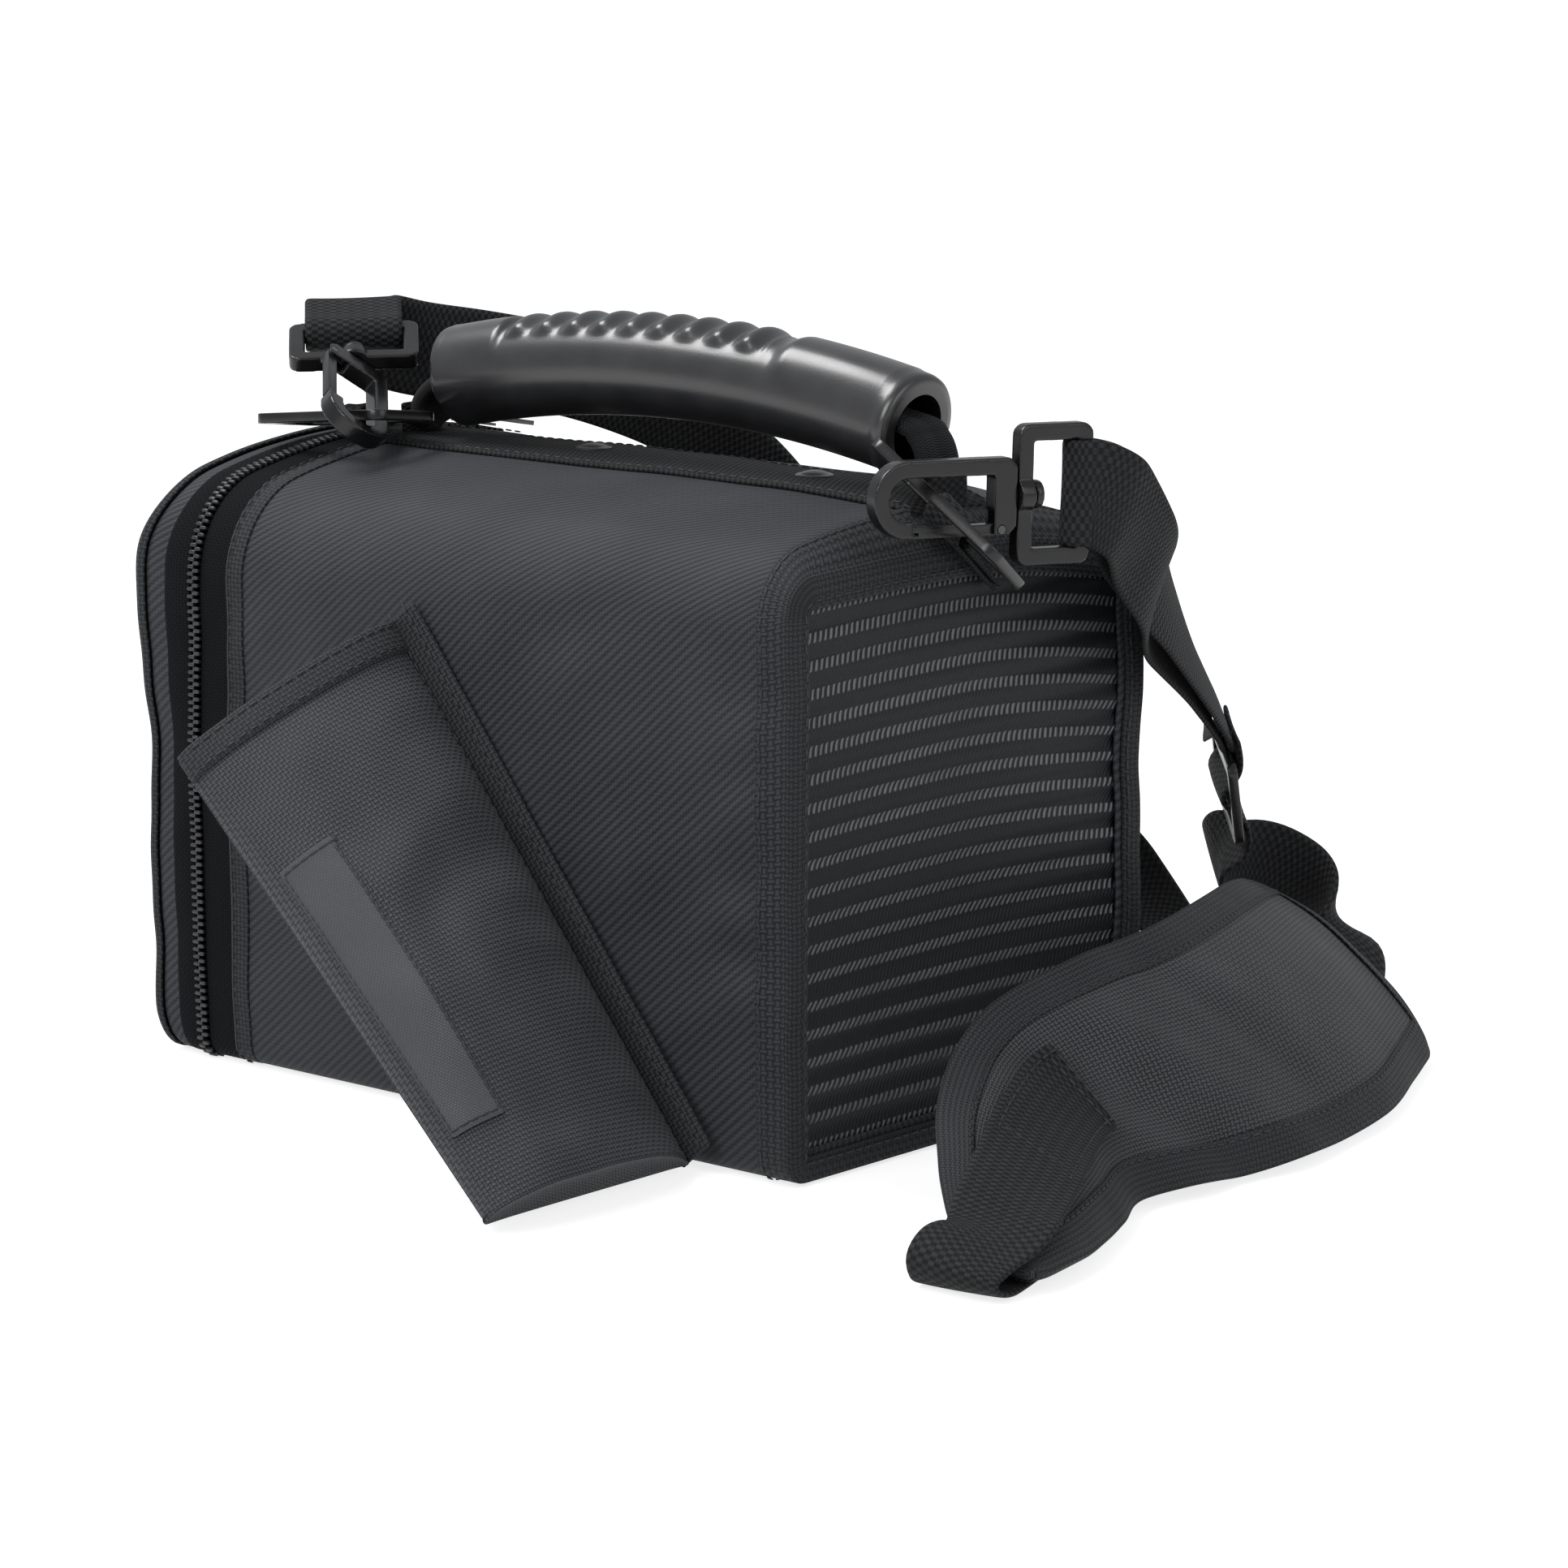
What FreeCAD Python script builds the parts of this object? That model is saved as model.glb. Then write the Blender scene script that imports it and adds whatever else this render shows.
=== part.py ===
import FreeCAD, Part
import math
import os

V = FreeCAD.Vector
os.makedirs("parts", exist_ok=True)

# Padded nylon carrying case for a small portable speaker.
# Millimetres. The mesh front faces -Y, the carry handle runs along Y and the
# accessory pouch leans on the -X side. The origin is the middle of the case's bottom.

# Case
case_width = 130.0
case_length = 212.0
lid_depth = 17.5
lid_bulge = 5.0
lid_panel_thickness = 1.6
lid_board_thickness = 3.0
lid_edge = 5.0
lid_rim = 3.4
lid_edge_inset = 2.4
lid_piping_proud = 0.8
lid_piping_inset = 0.6
case_bottom_radius = 5.0
floor_gap = 0.4
cover_cloth = 1.2
foam_thickness = 7.0
lining_cloth = 0.8

# Top of the case: its height, how far the front drops and the middle swells, and at four
# places along Y the rise of the dome and the corner radius
case_height = 153.0
front_drop = 9.5
crown_swell = 0.6
front_rise, front_radius = 1.5, 9.0
brow_rise, brow_radius = 5.0, 18.0
middle_rise, middle_radius = 6.5, 20.0
rear_rise, rear_radius = 6.5, 25.0
brow_setback = 11.0
middle_y = -20.0
rear_y = 58.0

# Front window
window_border = 8.0
front_panel_cloth = 1.2
mesh_thickness = 1.2
mesh_rows = 18
mesh_columns = 10
mesh_gap_width = 6.4
mesh_gap_height = 2.2
mesh_gap_slant = 0.8
binding_proud = 0.9
binding_side_width = 9.0
binding_front_width = 6.5

# Zip and hinge of the rear lid
zip_tape_width = 10.0
zip_tape_proud = 0.7
zip_gap = 1.2
zip_tooth_width = 1.5
zip_tooth_proud = 1.5
zip_tooth_depth = 1.0
hinge_bead_radius = 0.8
hinge_bead_proud = 0.9
hinge_side_width = 9.0
hinge_margin = 14.0
slider_length = 9.0
slider_plate = 0.7
slider_clearance = 0.25
slider_post = 0.7
slider_overhang = 1.6
bail_height = 1.4
bail_span = 2.2
bail_cheek_width = 2.8
slider_x = 34.0
pull_length = 21.0
pull_width = 5.0
pull_thickness = 1.2
pull_pin_radius = 0.6
pull_bore_clearance = 0.06
pull_eye_wall = 0.65
pull_neck = 3.2

# Reinforcing strip, rivets and carry handle
strip_width = 30.0
strip_thickness = 1.4
strip_rear_y = 84.0
tab_height = 7.0
rivet_radius = 4.6
rivet_height = 1.5
rivet_front_y = -58.0
rivet_rear_y = 14.0
leg_front_y = -96.0
leg_rear_y = 70.0
leg_width = 14.0
leg_thickness = 4.6
leg_clearance = 0.4
grip_front_y = -90.0
grip_rear_y = 59.0
grip_radius = 12.0
grip_bore = 8.4
grip_rim_radius = 13.0
grip_rim_length = 4.0
grip_collar_radius = 12.4
grip_end_height = 6.2
grip_arch = 8.0
grip_rib_count = 9
grip_rib_pitch = 9.2
grip_rib_length = 5.0
grip_rib_height = 1.6
grip_rib_half_width = 8.5
grip_rib_start_y = 30.0

# Rectangular ring, swivel hook and strap webbing
webbing_width = 25.0
webbing_thickness = 1.5
ring_length = 46.0
ring_breadth = 22.0
ring_bar_width = 4.0
ring_bar_thickness = 2.6
front_keeper_width = 13.0
rear_keeper_width = 8.0
keeper_cloth = 1.2
keeper_clearance = 0.5
front_keeper_tail = 26.0
rear_keeper_tail = 9.0
hook_thickness = 4.6
hook_nose_radius = 9.0
hook_arm = 4.0
hook_mouth_length = 23.0
hook_boss_length = 6.0
hook_lip = 3.0
gate_bar = 2.6
gate_pin_radius = 1.0
gate_bore_clearance = 0.06
gate_side_clearance = 0.3
gate_shelf = 1.0
stem_radius = 2.0
stem_bore_clearance = 0.06
stem_head_radius = 3.4
stem_head_length = 2.0
stem_gap = 0.4
eye_height = 33.0
eye_bar = 4.0
eye_length = 20.0
eye_thickness = 4.0
eye_turn_clearance = 1.2
slide_hang = 16.0
slide_run = 22.0
slide_bar = 3.6
slide_thickness = 2.4
slide_side_bar = 3.0

# Shoulder pad and pouch
pad_crown = 4.5
pad_edge = 4.0
pad_binding_width = 8.5
pad_binding_proud = 0.5
pad_strap_gap = 1.5
pad_top_gap = 2.2
pad_top = 54.0
pouch_wall = 1.4
pouch_bulge_top = 9.0
pouch_bulge_middle = 24.0
pouch_bulge_bottom = 19.0
pouch_hem = 9.0
pouch_hem_proud = 1.0
pouch_height = 152.0
pouch_width = 72.0
pouch_binding_width = 9.0
pouch_binding_cloth = 1.2
label_thickness = 0.5
label_gap = 0.05

# Worked out from the above
half_width = case_width / 2
front_crown = case_height - front_drop
brow_crown = rear_crown = case_height
middle_crown = case_height + crown_swell
front_y = -case_length / 2
back_y = case_length / 2
zip_y = back_y - lid_depth
cover_rear_y = zip_y - zip_gap / 2 - zip_tooth_width
lid_front_y = zip_y + zip_gap / 2 + zip_tooth_width
padding = cover_cloth + foam_thickness + lining_cloth
strip_top = max(case_height, middle_crown) + strip_thickness


def save(shape, node):
    shape.exportStep("parts/" + node + ".step")


def box(x0, x1, y0, y1, z0, z1):
    return Part.makeBox(x1 - x0, y1 - y0, z1 - z0, V(x0, y0, z0))


def line(a, b):
    return Part.LineSegment(a, b).toShape()


def arc(a, b, c):
    return Part.Arc(a, b, c).toShape()


def polygon(points):
    return Part.makePolygon(points + [points[0]])


def loft(wires, ruled=True):
    return Part.makeLoft(wires, True, ruled)


def skin(outlines):
    """Closed solid of flat triangles through outlines that have the same number of points.

    The first half of an outline lies over the second half, so both are split the same way."""
    faces = [Part.Face(polygon(outlines[0])), Part.Face(polygon(outlines[-1]))]
    count = len(outlines[0])
    for low, high in zip(outlines, outlines[1:]):
        for i in range(count):
            j = (i + 1) % count
            near, far = (low[i], high[j]) if 2 * i < count else (low[j], high[i])
            faces.append(Part.Face(polygon([near, far, low[j] if 2 * i < count else low[i]])))
            faces.append(Part.Face(polygon([near, far, high[i] if 2 * i < count else high[j]])))
    solid = Part.makeSolid(Part.makeShell(faces))
    if solid.Volume < 0:
        solid.reverse()
    return solid


def edges_of(shape, side, length):
    """The shape's edges whose box measures length on one side, such as its upright corners."""
    return [e for e in shape.Edges if abs(getattr(e.BoundBox, side) - length) < 0.01]


def placed(shape, origin, along, across, normal):
    """Move a shape from its own x, y, z to the given directions at origin."""
    matrix = FreeCAD.Matrix(along.x, across.x, normal.x, origin.x,
                            along.y, across.y, normal.y, origin.y,
                            along.z, across.z, normal.z, origin.z, 0, 0, 0, 1)
    moved = shape.copy()
    moved.Placement = FreeCAD.Placement(matrix).multiply(moved.Placement)
    return moved


def unit(x, y, z):
    vector = V(x, y, z)
    vector.normalize()
    return vector


# Case walls
top_stations = [
    (front_y, front_crown, front_rise, front_radius),
    (front_y + brow_setback, brow_crown, brow_rise, brow_radius),
    (middle_y, middle_crown, middle_rise, middle_radius),
    (rear_y, rear_crown, rear_rise, rear_radius),
    (back_y, rear_crown, rear_rise, rear_radius),
]


def top_at(y):
    """Crown height, dome rise and corner radius of the case at a place along Y."""
    for low, high in zip(top_stations, top_stations[1:]):
        if y <= high[0]:
            share = (y - low[0]) / (high[0] - low[0])
            return [a + (b - a) * share for a, b in zip(low[1:], high[1:])]
    return list(top_stations[-1][1:])


def case_wire(y, inset):
    """Closed outline of the case across Y, moved inwards by inset."""
    crown, rise, radius = top_at(min(max(y, front_y), back_y))
    low = max(inset, 0.0)
    side = half_width - inset
    foot = max(case_bottom_radius - inset, 1.0)
    turn = math.pi / 2 - 2 * math.atan(rise / (half_width - radius))
    corner = max(radius - inset, 1.5)
    shoulder_x = side - corner + corner * math.cos(turn)
    shoulder_z = crown - inset - rise
    centre_z = shoulder_z - corner * math.sin(turn)
    mid_x = side - corner + corner * math.cos(turn / 2)
    mid_z = centre_z + corner * math.sin(turn / 2)
    slope = foot * (1 - math.sqrt(0.5))
    points = [V(-side + foot, y, low), V(side - foot, y, low), V(side, y, low + foot),
              V(side, y, centre_z), V(shoulder_x, y, shoulder_z),
              V(-shoulder_x, y, shoulder_z), V(-side, y, centre_z), V(-side, y, low + foot)]
    edges = [line(points[0], points[1]),
             arc(points[1], V(side - slope, y, low + slope), points[2]),
             line(points[2], points[3]),
             arc(points[3], V(mid_x, y, mid_z), points[4]),
             arc(points[4], V(0, y, crown - inset), points[5]),
             arc(points[5], V(-mid_x, y, mid_z), points[6]),
             line(points[6], points[7]),
             arc(points[7], V(-side + slope, y, low + slope), points[0])]
    return Part.Wire(edges)


def case_block(y0, y1, inset):
    """Solid of the case's outline from y0 to y1."""
    inner = [s[0] for s in top_stations if y0 + 0.5 < s[0] < y1 - 0.5]
    return loft([case_wire(y, inset) for y in [y0] + inner + [y1]])


def case_ring(y0, y1, outer, inner):
    """Band round the case; one that stands proud ends just above the floor at each side."""
    ring = case_block(y0, y1, outer).cut(case_block(y0 - 1, y1 + 1, inner))
    if outer < 0:
        ring = ring.cut(box(-case_width, case_width, y0 - 1, y1 + 1, -1, floor_gap))
    return ring


def case_plate(y0, y1, inset):
    """Flat plate of the case's front outline."""
    face = Part.Face(case_wire(front_y, inset))
    face.translate(V(0, y0 - front_y, 0))
    return face.extrude(V(0, y1 - y0, 0))


panel_back = front_y + front_panel_cloth
mesh_back = panel_back + mesh_thickness
inner_front = mesh_back + 0.2

save(case_ring(panel_back, cover_rear_y, 0, cover_cloth), "outer_cover")
foam_rear_y = cover_rear_y - 4
save(case_ring(inner_front, foam_rear_y, cover_cloth, cover_cloth + foam_thickness), "foam_padding")
save(case_ring(inner_front, foam_rear_y, padding - lining_cloth, padding), "lining")

window = case_plate(front_y - 1, panel_back + 1, window_border)
save(case_plate(front_y, panel_back, 0).cut(window), "front_border")


def front_mesh():
    """Knitted mesh with rows of slanted gaps, in one piece behind the border."""
    sheet = case_plate(panel_back, mesh_back, cover_cloth + 0.2)
    low = window_border + 2.6
    high = front_crown - front_rise - window_border - 3.6
    reach = half_width - window_border - 6.0
    gaps = []
    for row in range(mesh_rows):
        z = low + (high - low) * row / (mesh_rows - 1)
        for column in range(mesh_columns):
            x = -reach + 2 * reach * column / (mesh_columns - 1)
            corners = []
            for sx, sz in ((-1, -1), (1, -1), (1, 1), (-1, 1)):
                corners.append(V(x + sx * mesh_gap_width / 2 + sz * mesh_gap_slant,
                                 panel_back - 1, z + sz * mesh_gap_height / 2))
            gaps.append(Part.Face(polygon(corners)).extrude(V(0, mesh_thickness + 2, 0)))
    return sheet.cut(Part.makeCompound(gaps))


save(front_mesh(), "front_mesh")

binding_front = front_y - front_panel_cloth
binding_wires = [case_wire(y, -binding_proud) for y in (front_y, front_y, front_y + binding_side_width)]
binding_wires[0].translate(V(0, binding_front - front_y, 0))
front_binding = loft(binding_wires).cut(case_block(front_y, front_y + binding_side_width + 1, 0))
front_binding = front_binding.cut(box(-case_width, case_width, front_y, back_y, -1, floor_gap))
front_binding = front_binding.cut(case_plate(binding_front - 1, front_y + 1, binding_front_width))
save(front_binding, "front_binding")

# Zip on the -X side, the top and the bottom, cloth hinge on the +X side
hinge_x = half_width + hinge_bead_proud
hinge_zone = box(half_width - rear_radius, case_width, front_y, back_y + 10, -1, rear_crown + 10)


def zip_ring(y0, y1, proud, depth):
    return case_ring(y0, y1, -proud, depth).cut(hinge_zone)


tape_case_y = cover_rear_y - zip_tape_width
zip_tape = zip_ring(tape_case_y, cover_rear_y, zip_tape_proud, 0)
save(zip_tape, "zip_tape_case")
save(zip_ring(cover_rear_y, zip_y - zip_gap / 2, zip_tooth_proud, zip_tooth_depth), "zip_teeth_case")
save(zip_ring(zip_y + zip_gap / 2, lid_front_y, zip_tooth_proud, zip_tooth_depth), "zip_teeth_lid")

hinge_low = hinge_margin
hinge_high = rear_crown - rear_rise - rear_radius
hinge_strap = box(half_width, half_width + zip_tape_proud, zip_y - hinge_side_width,
                  zip_y, hinge_low, hinge_high)
hinge_bead = Part.makeCylinder(hinge_bead_radius, hinge_high - hinge_low, V(hinge_x, zip_y, hinge_low))
save(hinge_strap.fuse(hinge_bead).removeSplitter(), "hinge_tape_case")
bead_room = Part.makeCylinder(hinge_bead_radius + 0.2, hinge_high, V(hinge_x, zip_y, 0))
lid_strap = box(half_width, half_width + zip_tape_proud, zip_y + hinge_bead_radius,
                zip_y + hinge_side_width, hinge_low, hinge_high)
save(lid_strap.cut(bead_room), "hinge_tape_lid")

# Rear lid

def lid_block(inset, y0, y1):
    """Lid outline, drawn in over the last few millimetres of its depth."""
    wires = [case_wire(y0, inset)]
    if y1 > back_y - lid_edge:
        wires.append(case_wire(back_y - lid_edge, inset))
        share = (y1 - back_y + lid_edge) / lid_edge
        drawn_in = lid_edge_inset * share
        shrunk = case_wire(back_y, inset + drawn_in)
        shrunk.translate(V(0, y1 - back_y, -drawn_in))
        wires.append(shrunk)
    else:
        wires.append(case_wire(y1, inset))
    return loft(wires)


lid_floor_y = back_y - lid_panel_thickness
gusset = lid_block(0, lid_front_y, lid_floor_y)
gusset = gusset.cut(case_block(lid_front_y - 1, lid_floor_y - lid_edge, cover_cloth + 1))
gusset = gusset.cut(case_block(lid_floor_y - lid_edge - 1, back_y + 1, cover_cloth + 3.2))
save(gusset, "lid_gusset")
cushion = [case_wire(lid_floor_y, lid_rim), case_wire(back_y, lid_rim),
           case_wire(back_y + lid_bulge * 0.7, lid_rim + 12), case_wire(back_y + lid_bulge, lid_rim + 32)]
save(loft(cushion), "lid_panel")
board_y = lid_floor_y - lid_board_thickness
save(case_block(board_y, lid_floor_y, cover_cloth + lid_rim), "lid_board")
save(case_block(board_y - lining_cloth, board_y, cover_cloth + lid_rim), "lid_lining")
save(case_ring(lid_floor_y, back_y + lid_piping_proud, lid_piping_inset, lid_rim), "lid_piping")

# Zip slider on the domed top; it turns about the dome's own centre
rear_shoulder = half_width - rear_radius
rear_turn = math.pi / 2 - 2 * math.atan(rear_rise / rear_shoulder)
dome_half = rear_shoulder + rear_radius * math.cos(rear_turn)
dome_radius = (dome_half ** 2 + rear_rise ** 2) / (2 * rear_rise)
dome_centre_z = rear_crown - dome_radius
slider_angle = math.asin(slider_x / dome_radius)


def on_dome(shape):
    """Turn a shape drawn over the crown to the slider's place."""
    turned = shape.copy()
    turned.rotate(V(0, zip_y, dome_centre_z), V(0, 1, 0), math.degrees(slider_angle))
    return turned


slider_low = rear_crown + zip_tooth_proud + slider_clearance
slider_half = zip_gap / 2 + zip_tooth_width + slider_overhang
half_length = slider_length / 2
pin_z = slider_low + slider_plate + bail_height
cheek = bail_cheek_width / 2


def zip_slider():
    """Upper plate with a round nose, post between the tooth rows, lower plate and pull bail."""
    upper = box(-half_length, half_length, zip_y - slider_half, zip_y + slider_half,
                slider_low, slider_low + slider_plate)
    nose = Part.makeCylinder(slider_half, slider_plate, V(-half_length + 1, zip_y, slider_low))
    under = rear_crown - zip_tooth_depth - slider_clearance
    post = box(-cheek, cheek, zip_y - slider_post / 2, zip_y + slider_post / 2, under, slider_low)
    lower = box(-half_length, half_length, cover_rear_y + slider_clearance, zip_y + zip_gap / 2,
                under - slider_plate, under)
    shape = upper.fuse([nose, post, lower])
    for side in (-1, 1):
        y = zip_y + side * (bail_span + slider_plate / 2)
        shape = shape.fuse(box(-cheek, cheek, y - slider_plate / 2, y + slider_plate / 2,
                               slider_low, pin_z + pull_pin_radius + 0.4))
    reach = bail_span + slider_plate / 2
    pin = Part.makeCylinder(pull_pin_radius, 2 * reach, V(0, zip_y - reach, pin_z), V(0, 1, 0))
    return shape.fuse(pin).removeSplitter()


def zip_pull():
    """Flat tab with a cord slot, turning on the slider's pin."""
    bore = pull_pin_radius + pull_bore_clearance
    low = pin_z - pull_thickness / 2
    high = pin_z + pull_thickness / 2
    neck_half = bail_span - slider_clearance
    eye = Part.makeCylinder(bore + pull_eye_wall, 2 * neck_half, V(0, zip_y - neck_half, pin_z), V(0, 1, 0))
    neck = box(0, pull_neck + 1, zip_y - neck_half, zip_y + neck_half, low, high)
    tab = box(pull_neck, pull_length, zip_y - pull_width / 2, zip_y + pull_width / 2, low, high)
    tab = tab.makeFillet(1.5, edges_of(tab, "ZLength", pull_thickness))
    slot = box(pull_length - 8, pull_length - 2, zip_y - 1.3, zip_y + 1.3, low - 1, high + 1)
    hole = Part.makeCylinder(bore, 2 * pull_width, V(0, zip_y - pull_width, pin_z), V(0, 1, 0))
    return tab.fuse([neck, eye]).cut(slot).cut(hole).removeSplitter()


save(on_dome(zip_slider()), "zip_slider")
save(on_dome(zip_pull()), "zip_pull")

# Reinforcing strip on top, with a turned-up end before and behind the handle's legs
leg_half = leg_thickness / 2
tab_front = leg_front_y - leg_half - leg_clearance - strip_thickness
tab_rear = leg_rear_y + leg_half + leg_clearance


def top_strip():
    strip = case_block(tab_front, strip_rear_y, -strip_thickness).cut(case_block(front_y, back_y, 0))
    low = front_crown - 9
    strip = strip.common(box(-strip_width / 2, strip_width / 2, front_y, back_y, low, strip_top + 9))
    tabs = [box(-leg_width / 2, leg_width / 2, y, y + strip_thickness, low, strip_top + tab_height)
            for y in (tab_front, tab_rear)]
    strip = strip.fuse([tab.cut(case_block(front_y, back_y, 0)) for tab in tabs])
    return strip.cut(front_binding).cut(zip_tape).removeSplitter()


strip_solid = top_strip()
save(strip_solid, "top_strip")


def rivet(y):
    """Round head with two steps of crown, seated on the strip."""
    seat = top_at(y)[0] + strip_thickness
    skirt = Part.makeCone(rivet_radius, rivet_radius * 0.86, rivet_height * 0.55, V(0, y, seat - 0.2))
    cap = Part.makeCone(rivet_radius * 0.86, rivet_radius * 0.45, rivet_height * 0.45,
                        V(0, y, seat - 0.2 + rivet_height * 0.55))
    return skirt.fuse(cap).cut(case_block(front_y, back_y, -strip_thickness))


save(rivet(rivet_front_y), "rivet_front")
save(rivet(rivet_rear_y), "rivet_rear")

# Carry handle: a moulded grip over folded webbing, leaning about the strip
handle_axis_z = strip_top + leg_width / 2 + leg_clearance
grip_end_z = handle_axis_z + grip_end_height
grip_middle_y = (grip_front_y + grip_rear_y) / 2
grip_half = (grip_rear_y - grip_front_y) / 2
arch_radius = (grip_half ** 2 + grip_arch ** 2) / (2 * grip_arch)
arch_centre = V(0, grip_middle_y, grip_end_z + grip_arch - arch_radius)


def arch_angle(y):
    return math.asin((y - grip_middle_y) / arch_radius)


def on_arch(angle, radius):
    """Point at an angle and radius about the arch's centre."""
    return arch_centre + V(0, radius * math.sin(angle), radius * math.cos(angle))


def arched_bar(radius, y0, y1, steps):
    """Round bar bent along the handle's arch."""
    circles = []
    for step in range(steps + 1):
        angle = arch_angle(y0) + (arch_angle(y1) - arch_angle(y0)) * step / steps
        tangent = V(0, math.cos(angle), -math.sin(angle))
        circles.append(Part.Wire(Part.makeCircle(radius, on_arch(angle, arch_radius), tangent)))
    return loft(circles)


def handle_grip():
    """Moulded tube with a flared rim before, a raised collar behind and ribs for the fingers."""
    shape = arched_bar(grip_radius, grip_front_y, grip_rear_y, 8)
    rim = arched_bar(grip_rim_radius, grip_front_y, grip_front_y + grip_rim_length, 1)
    collar = arched_bar(grip_collar_radius, grip_rear_y - grip_rim_length, grip_rear_y, 1)
    ribs = []
    for index in range(grip_rib_count):
        angle = arch_angle(grip_rib_start_y - index * grip_rib_pitch)
        tangent = V(0, math.cos(angle), -math.sin(angle))
        start = on_arch(angle, arch_radius) - tangent * (grip_rib_length / 2)
        rib = Part.makeCylinder(grip_radius + grip_rib_height, grip_rib_length, start, tangent)
        keep = box(-grip_rib_half_width, grip_rib_half_width, start.y - 9, start.y + 9,
                   start.z + 4, start.z + 20)
        ribs.append(rib.common(keep))
    shape = shape.fuse([rim, collar] + ribs)
    return shape.cut(arched_bar(grip_bore, grip_front_y - 1, grip_rear_y + 1, 8))


def handle_webbing():
    """Folded webbing inside the grip with a leg down to the strip at each end."""
    foot = front_crown
    knee = handle_axis_z + 1.5
    front_angle = arch_angle(grip_front_y - 1)
    rear_angle = arch_angle(grip_rear_y + 1)
    over, under = arch_radius + leg_half, arch_radius - leg_half
    front_out, front_in = leg_front_y - leg_half, leg_front_y + leg_half
    rear_out, rear_in = leg_rear_y + leg_half, leg_rear_y - leg_half
    edges = [arc(on_arch(front_angle, over), on_arch(0, over), on_arch(rear_angle, over)),
             line(on_arch(rear_angle, over), V(0, rear_out, knee)),
             line(V(0, rear_out, knee), V(0, rear_out, foot)),
             line(V(0, rear_out, foot), V(0, rear_in, foot)),
             line(V(0, rear_in, foot), V(0, rear_in, knee)),
             line(V(0, rear_in, knee), on_arch(rear_angle, under)),
             arc(on_arch(rear_angle, under), on_arch(0, under), on_arch(front_angle, under)),
             line(on_arch(front_angle, under), V(0, front_in, knee)),
             line(V(0, front_in, knee), V(0, front_in, foot)),
             line(V(0, front_in, foot), V(0, front_out, foot)),
             line(V(0, front_out, foot), V(0, front_out, knee)),
             line(V(0, front_out, knee), on_arch(front_angle, over))]
    band = Part.Face(Part.Wire(edges))
    band.translate(V(-leg_width / 2, 0, 0))
    band = band.extrude(V(leg_width, 0, 0))
    foot_drop = handle_axis_z - strip_thickness - leg_clearance
    rear_foot = foot_drop - top_at(leg_rear_y)[0]
    front_foot = foot_drop - top_at(leg_front_y + leg_half)[0]
    feet = [Part.makeCylinder(front_foot, 2 * leg_thickness, V(0, front_out - 1, handle_axis_z), V(0, 1, 0)),
            Part.makeCylinder(rear_foot, 2 * leg_thickness, V(0, rear_in - 1, handle_axis_z), V(0, 1, 0)),
            box(-leg_width, leg_width, front_y, back_y, handle_axis_z, handle_axis_z + case_width)]
    return band.common(feet[0].fuse(feet[1:]))


save(handle_grip(), "handle_grip")
save(handle_webbing(), "handle_webbing")


# Rectangular rings, swivel hooks, webbing eyes and ring keepers, front and rear
def ring_solid():
    """Flat rectangular ring in its own frame: x along its length, y along its breadth."""
    half = ring_bar_thickness / 2
    outer = box(-ring_length / 2, ring_length / 2, -ring_breadth / 2, ring_breadth / 2, -half, half)
    outer = outer.makeFillet(4.0, edges_of(outer, "ZLength", ring_bar_thickness))
    inner_x = ring_length / 2 - ring_bar_width
    inner_y = ring_breadth / 2 - ring_bar_width
    hole = box(-inner_x, inner_x, -inner_y, inner_y, -ring_bar_width, ring_bar_width)
    hole = hole.makeFillet(1.5, edges_of(hole, "ZLength", 2 * ring_bar_width))
    return outer.cut(hole)


keeper_inner = math.hypot(ring_bar_width, ring_bar_thickness) / 2 + keeper_clearance
keeper_outer = keeper_inner + keeper_cloth


def keeper_solid(shift, width, tail_length, tail_low):
    """Loop round the ring's far bar with a doubled tail to sew down; x along the bar."""
    far = ring_breadth / 2 - ring_bar_width / 2
    half = width / 2
    loop = Part.makeCylinder(keeper_outer, width, V(shift - half, far, 0), V(1, 0, 0))
    tail = box(shift - half, shift + half, far, far + tail_length, tail_low, tail_low + 2 * keeper_cloth)
    hole = Part.makeCylinder(keeper_inner, width + 2, V(shift - half - 1, far, 0), V(1, 0, 0))
    return loop.fuse(tail).cut(hole).removeSplitter()


mouth_half = hook_nose_radius - hook_arm
boss_x = hook_nose_radius + hook_mouth_length
pin_x = boss_x + 2.0
gate_z = -hook_nose_radius + gate_bar / 2
eye_x = boss_x + hook_boss_length + stem_gap
far_bar = eye_x + eye_length - eye_bar / 2


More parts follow.
